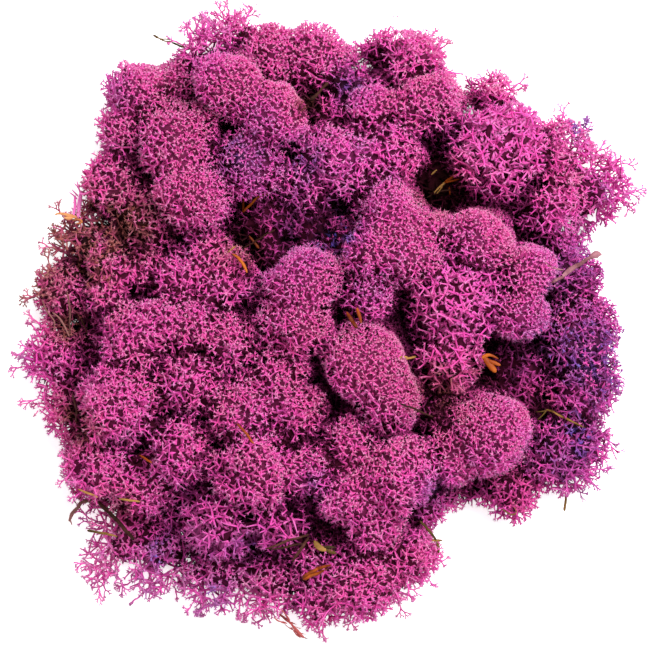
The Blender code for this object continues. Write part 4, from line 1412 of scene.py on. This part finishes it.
class MossLook(bpy.types.PropertyGroup):
    tip_spacing: bpy.props.FloatProperty(
        name="Star Spacing", description="Between the stars of a dense cap",
        default=1.16 * MM, unit="LENGTH"
    )
    open_spacing: bpy.props.FloatProperty(
        name="Open Spacing", description="Times wider that stars stand on an open net", default=2.5
    )
    star_size: bpy.props.FloatVectorProperty(
        name="Star Size", description="Smallest and largest reach of a star", size=2,
        default=(0.64 * MM, 1.1 * MM), unit="LENGTH"
    )
    form_grain: bpy.props.FloatProperty(
        name="Form Grain", description="Grain of the forms that the stars grow on",
        default=2.4 * MM, unit="LENGTH"
    )
    head_size: bpy.props.FloatProperty(
        name="Head Size", description="Size of a small head on a cushion", default=9 * MM, unit="LENGTH"
    )
    widest_gap: bpy.props.FloatProperty(
        name="Widest Gap", description="Widest gap between cushions that low moss fills", default=22 * MM,
        unit="LENGTH"
    )
    valley_fill: bpy.props.FloatProperty(
        name="Valley Fill", description="How far the moss fills the valleys between cushions",
        default=2.4 * MM,
        unit="LENGTH"
    )
    tangle: bpy.props.FloatProperty(
        name="Tangle", description="How far the moss reaches past its solid into its neighbours",
        default=1.0 * MM,
        unit="LENGTH"
    )
    branch_girth: bpy.props.FloatProperty(
        name="Branch Girth", description="Radius of a branch under a dense cap",
        default=0.3 * MM, unit="LENGTH"
    )
    fork_spread: bpy.props.FloatProperty(
        name="Fork Spread", description="Times wider that each level of forks stands", default=1.5
    )
    fork_depth: bpy.props.FloatProperty(
        name="Fork Depth", description="Depth of a level of forks over its spacing", default=0.58
    )
    curd_height: bpy.props.FloatProperty(
        name="Curd Height", description="Rise of the small lumps on a head",
        default=0.35 * MM, unit="LENGTH"
    )
    cap_way: bpy.props.FloatVectorProperty(
        name="Cap Way", description="The way that the dense caps face", default=(0.4, 0.5, 0.77)
    )
    inner_spacing: bpy.props.FloatProperty(
        name="Inner Spacing", description="Between the stars on the dark heart",
        default=1.85 * MM, unit="LENGTH"
    )
    inner_star: bpy.props.FloatProperty(
        name="Inner Star", description="Reach of a star on the dark heart", default=1.6 * MM, unit="LENGTH"
    )
    core_share: bpy.props.FloatProperty(
        name="Core Share", description="Share of the form's faces that the dark heart keeps", default=0.4
    )
    woven_levels: bpy.props.IntProperty(
        name="Woven Levels", description="Levels of forks whose branches lean on each other", default=3
    )
    sprig_share: bpy.props.FloatProperty(
        name="Sprig Share", description="Share of an untidy edge's tips that carry a free sprig",
        default=0.08
    )
    growth_way: bpy.props.FloatVectorProperty(
        name="Growth Way", description="The way that the branches lean", default=(0.2, 0.25, 0.95)
    )
    salmon: bpy.props.FloatVectorProperty(
        name="Salmon", description="Branches of dense caps", subtype="COLOR", default=(0.72, 0.075, 0.33)
    )
    salmon_tip: bpy.props.FloatVectorProperty(
        name="Salmon Tip", description="Tips of dense caps", subtype="COLOR", default=(0.56, 0.30, 0.39)
    )
    pink: bpy.props.FloatVectorProperty(
        name="Pink", description="Branches of open nets", subtype="COLOR", default=(0.70, 0.07, 0.38)
    )
    pink_tip: bpy.props.FloatVectorProperty(
        name="Pink Tip", description="Tips of open nets", subtype="COLOR", default=(0.60, 0.29, 0.49)
    )
    violet: bpy.props.FloatVectorProperty(
        name="Violet", description="Violet branches", subtype="COLOR", default=(0.29, 0.055, 0.26)
    )
    violet_tip: bpy.props.FloatVectorProperty(
        name="Violet Tip", description="Violet tips", subtype="COLOR", default=(0.48, 0.21, 0.48)
    )
    blue: bpy.props.FloatVectorProperty(
        name="Blue", description="Blue branches", subtype="COLOR", default=(0.10, 0.06, 0.36)
    )
    blue_tip: bpy.props.FloatVectorProperty(
        name="Blue Tip", description="Blue tips", subtype="COLOR", default=(0.26, 0.22, 0.62)
    )
    brown: bpy.props.FloatVectorProperty(
        name="Brown", description="Undyed branches", subtype="COLOR", default=(0.26, 0.065, 0.06)
    )
    brown_tip: bpy.props.FloatVectorProperty(
        name="Brown Tip", description="Undyed tips", subtype="COLOR", default=(0.50, 0.22, 0.20)
    )
    # Painted shade: the colour is darkened by this deep inside a cushion, where the tangle lies in shadow.
    heart: bpy.props.FloatVectorProperty(
        name="Heart", description="How much the colour darkens deep inside",
        subtype="COLOR", default=(0.05, 0.02, 0.03)
    )
    seed: bpy.props.IntProperty(name="Seed", description="For all that is random", default=11)


class LitterLook(bpy.types.PropertyGroup):
    lift: bpy.props.FloatProperty(
        name="Lift", description="How far the litter lies above the solids, clear of the moss",
        default=1.5 * MM,
        unit="LENGTH"
    )
    seed: bpy.props.IntProperty(name="Seed", description="For the litter's grain", default=700)
    bark: bpy.props.FloatVectorProperty(
        name="Bark", description="Dark, middle and pale bark", size=9,
        default=(0.010, 0.004, 0.003, 0.060, 0.018, 0.012, 0.30, 0.13, 0.12)
    )
    needle: bpy.props.FloatVectorProperty(
        name="Needle", description="Dark, middle and pale needle", size=9,
        default=(0.04, 0.005, 0.002, 0.24, 0.04, 0.004, 0.56, 0.15, 0.018)
    )
    stem: bpy.props.FloatVectorProperty(
        name="Stem", description="Dark, middle and pale dry stem", size=9,
        default=(0.05, 0.015, 0.015, 0.17, 0.06, 0.075, 0.32, 0.14, 0.17)
    )
    straw: bpy.props.FloatVectorProperty(
        name="Straw", description="Dark, middle and pale straw", size=9,
        default=(0.02, 0.014, 0.006, 0.15, 0.08, 0.016, 0.42, 0.21, 0.06)
    )
    scrap: bpy.props.FloatVectorProperty(
        name="Scrap", description="Dark, middle and pale scrap", size=9,
        default=(0.06, 0.015, 0.008, 0.40, 0.13, 0.04, 0.68, 0.34, 0.15)
    )
    strip: bpy.props.FloatVectorProperty(
        name="Strip", description="Dark, middle and pale bark strip", size=9,
        default=(0.05, 0.006, 0.006, 0.28, 0.045, 0.045, 0.50, 0.16, 0.15)
    )
    sprig: bpy.props.FloatVectorProperty(
        name="Sprig", description="Dark, middle and pale dyed sprig", size=9,
        default=(0.25, 0.04, 0.14, 0.74, 0.13, 0.42, 0.84, 0.30, 0.60)
    )

    def shades_of(self, name):
        values = tuple(getattr(self, name))
        return values[:3], values[3:6], values[6:]


class StageLook(bpy.types.PropertyGroup):
    floor: bpy.props.FloatVectorProperty(
        name="Floor", description="Colour of the floor", subtype="COLOR", default=(0.93, 0.93, 0.93)
    )
    distance: bpy.props.FloatProperty(
        name="Camera Distance", description="Height of the camera", default=1.4, unit="LENGTH"
    )
    view_width: bpy.props.FloatProperty(
        name="View Width", description="Width of the picture at the tops of the cushions",
        default=0.26, unit="LENGTH"
    )
    middle_height: bpy.props.FloatProperty(
        name="Middle Height", description="Height at which the width holds", default=0.045, unit="LENGTH"
    )
    floor_reach: bpy.props.FloatProperty(
        name="Floor Reach", description="From the middle of the floor to its sides",
        default=6.0, unit="LENGTH"
    )
    glow: bpy.props.FloatProperty(
        name="Glow", description="Light that the floor and the room give", default=0.6
    )
    lamp_size: bpy.props.FloatProperty(
        name="Lamp Size", description="Width of the soft lamp", default=0.9, unit="LENGTH"
    )
    lamp_power: bpy.props.FloatProperty(name="Lamp Power", description="Power of the soft lamp", default=26)
    lamp_place: bpy.props.FloatVectorProperty(
        name="Lamp Place", description="Where the soft lamp hangs", default=(0.4, 0.45, 1.1), unit="LENGTH"
    )


# Operators


class CLUMP_OT_grow_moss(bpy.types.Operator):
    """Grow branches and stars on every cushion"""

    bl_idname = "clump.grow_moss"
    bl_label = "Grow Moss"

    def execute(self, context):
        look = context.scene.moss_look
        forms = {node: even_form(node, look) for node in tufts}
        everything = solid_of(forms.values())
        material = moss_material(look)
        kinds = star_kinds()
        tree = branching_tree()
        for number, (node, form) in enumerate(forms.items()):
            habit = HABITS[node]
            seed = look.seed * 1000 + 17 * number
            exposure = exposures(form, everything, 1.2 * MM)
            swell(form, exposure, gap_fills(form, everything, look), look, habit, seed)
            heart = core_of(form, exposure, habit, seed)
            holder = object_from("branches", grown_skeleton(form, heart, exposure, habit, look, seed))
            core = object_from("core", coarser(heart, look.core_share, habit.openness))
            grow = holder.modifiers.new("grow", "NODES")
            grow.node_group = tree
            set_inputs(grow, core=core, star_kinds=kinds, tube_sides=3, seed=seed, material=material)
            moss = evaluated_mesh(holder)
            moss.name = f"{node}_moss"
            map_colours(moss)
            dropped(holder)
            dropped(core)
            piece = object_from(f"{node}_moss", moss)
            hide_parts(node)
            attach(piece, "root")
            bpy.data.meshes.remove(form)
        for star in list(kinds.objects):
            dropped(star)
        bpy.data.collections.remove(kinds)
        bpy.data.node_groups.remove(tree)
        return {"FINISHED"}


class CLUMP_OT_lay_litter(bpy.types.Operator):
    """Lay the needles, twigs, straws and scraps in the moss"""

    bl_idname = "clump.lay_litter"
    bl_label = "Lay Litter"

    def execute(self, context):
        look = context.scene.litter_look
        grain, tree = grain_group(), strand_tree()
        finishes = {}
        for slot, name, shades, roughness, variety in FINISHES:
            finishes[slot] = litter_material(name, look.shades_of(shades), grain, roughness, variety)
        ground = solid_of(frame["nodes"][node].data for node in tufts)
        for number, (node, litter) in enumerate(LITTER.items()):
            slot = slots[node]
            heights_of = heights_in(node, look.lift)
            name, seed = f"{node}_litter", look.seed + number
            piece = litter_piece(name, litter, heights_of, tree, finishes[slot], seed)
            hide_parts(node)
            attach(piece, "root")
        for number, (name, (slot, litter)) in enumerate(LOOSE.items()):
            heights_of = heights_on(ground, look.lift)
            seed = look.seed + 100 + number
            piece = litter_piece(name, litter, heights_of, tree, finishes[slot], seed)
            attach(piece, "root")
        bpy.data.node_groups.remove(tree)
        return {"FINISHED"}


class CLUMP_OT_set_stage(bpy.types.Operator):
    """Set the floor, the lights and the camera"""

    bl_idname = "clump.set_stage"
    bl_label = "Set Stage"

    def execute(self, context):
        look = context.scene.stage_look
        side = look.floor_reach
        corners = [(-side, -side, 0), (side, -side, 0), (side, side, 0), (-side, side, 0)]
        floor = object_from("floor", mesh_from("floor", corners, [(0, 1, 2, 3)]))
        paper = plain_material("floor", look.floor, DULL)
        shader = paper.node_tree.nodes["Principled BSDF"]
        shader.inputs["Emission Color"].default_value = (1, 1, 1, 1)
        shader.inputs["Emission Strength"].default_value = look.glow
        floor.data.materials.append(paper)

        world = bpy.data.worlds.new("studio")
        world.use_nodes = True
        world.node_tree.nodes["Background"].inputs["Color"].default_value = (1, 1, 1, 1)
        world.node_tree.nodes["Background"].inputs["Strength"].default_value = look.glow
        context.scene.world = world
        lamp = bpy.data.lights.new("soft_top", "AREA")
        lamp.shape = "DISK"
        lamp.size = look.lamp_size
        lamp.energy = look.lamp_power
        top = bpy.data.objects.new("soft_top", lamp)
        top.location = look.lamp_place
        top.rotation_euler = (Vector((0, 0, 0)) - top.location).to_track_quat("-Z", "Y").to_euler()
        context.scene.collection.objects.link(top)

        lens = bpy.data.cameras.new("camera")
        lens.sensor_width = 36.0
        lens.lens = lens.sensor_width * (look.distance - look.middle_height) / look.view_width
        lens.clip_end = 20
        camera = bpy.data.objects.new("camera", lens)
        camera.location = (-MODEL_MIDDLE[0] * MM, -MODEL_MIDDLE[1] * MM, look.distance)
        context.scene.collection.objects.link(camera)
        context.scene.camera = camera
        context.scene.view_settings.view_transform = "Standard"
        return {"FINISHED"}


class CLUMP_PT_panel(bpy.types.Panel):
    """The steps that make the clump"""

    bl_idname = "CLUMP_PT_panel"
    bl_label = "Moss Clump"
    bl_space_type = "VIEW_3D"
    bl_region_type = "UI"
    bl_category = "Moss"

    def draw(self, context):
        for step in STEPS:
            self.layout.operator(step.bl_idname)


STEPS = (CLUMP_OT_grow_moss, CLUMP_OT_lay_litter, CLUMP_OT_set_stage)
CLASSES = (MossLook, LitterLook, StageLook, *STEPS, CLUMP_PT_panel)


def register():
    for item in CLASSES:
        bpy.utils.register_class(item)
    bpy.types.Scene.moss_look = bpy.props.PointerProperty(type=MossLook)
    bpy.types.Scene.litter_look = bpy.props.PointerProperty(type=LitterLook)
    bpy.types.Scene.stage_look = bpy.props.PointerProperty(type=StageLook)


def unregister():
    del bpy.types.Scene.stage_look
    del bpy.types.Scene.litter_look
    del bpy.types.Scene.moss_look
    for item in reversed(CLASSES):
        bpy.utils.unregister_class(item)


def main():
    """Registers the add-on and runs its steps."""
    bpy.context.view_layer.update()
    register()
    bpy.ops.clump.grow_moss()
    bpy.ops.clump.lay_litter()
    bpy.ops.clump.set_stage()


if __name__ == "__main__":
    main()
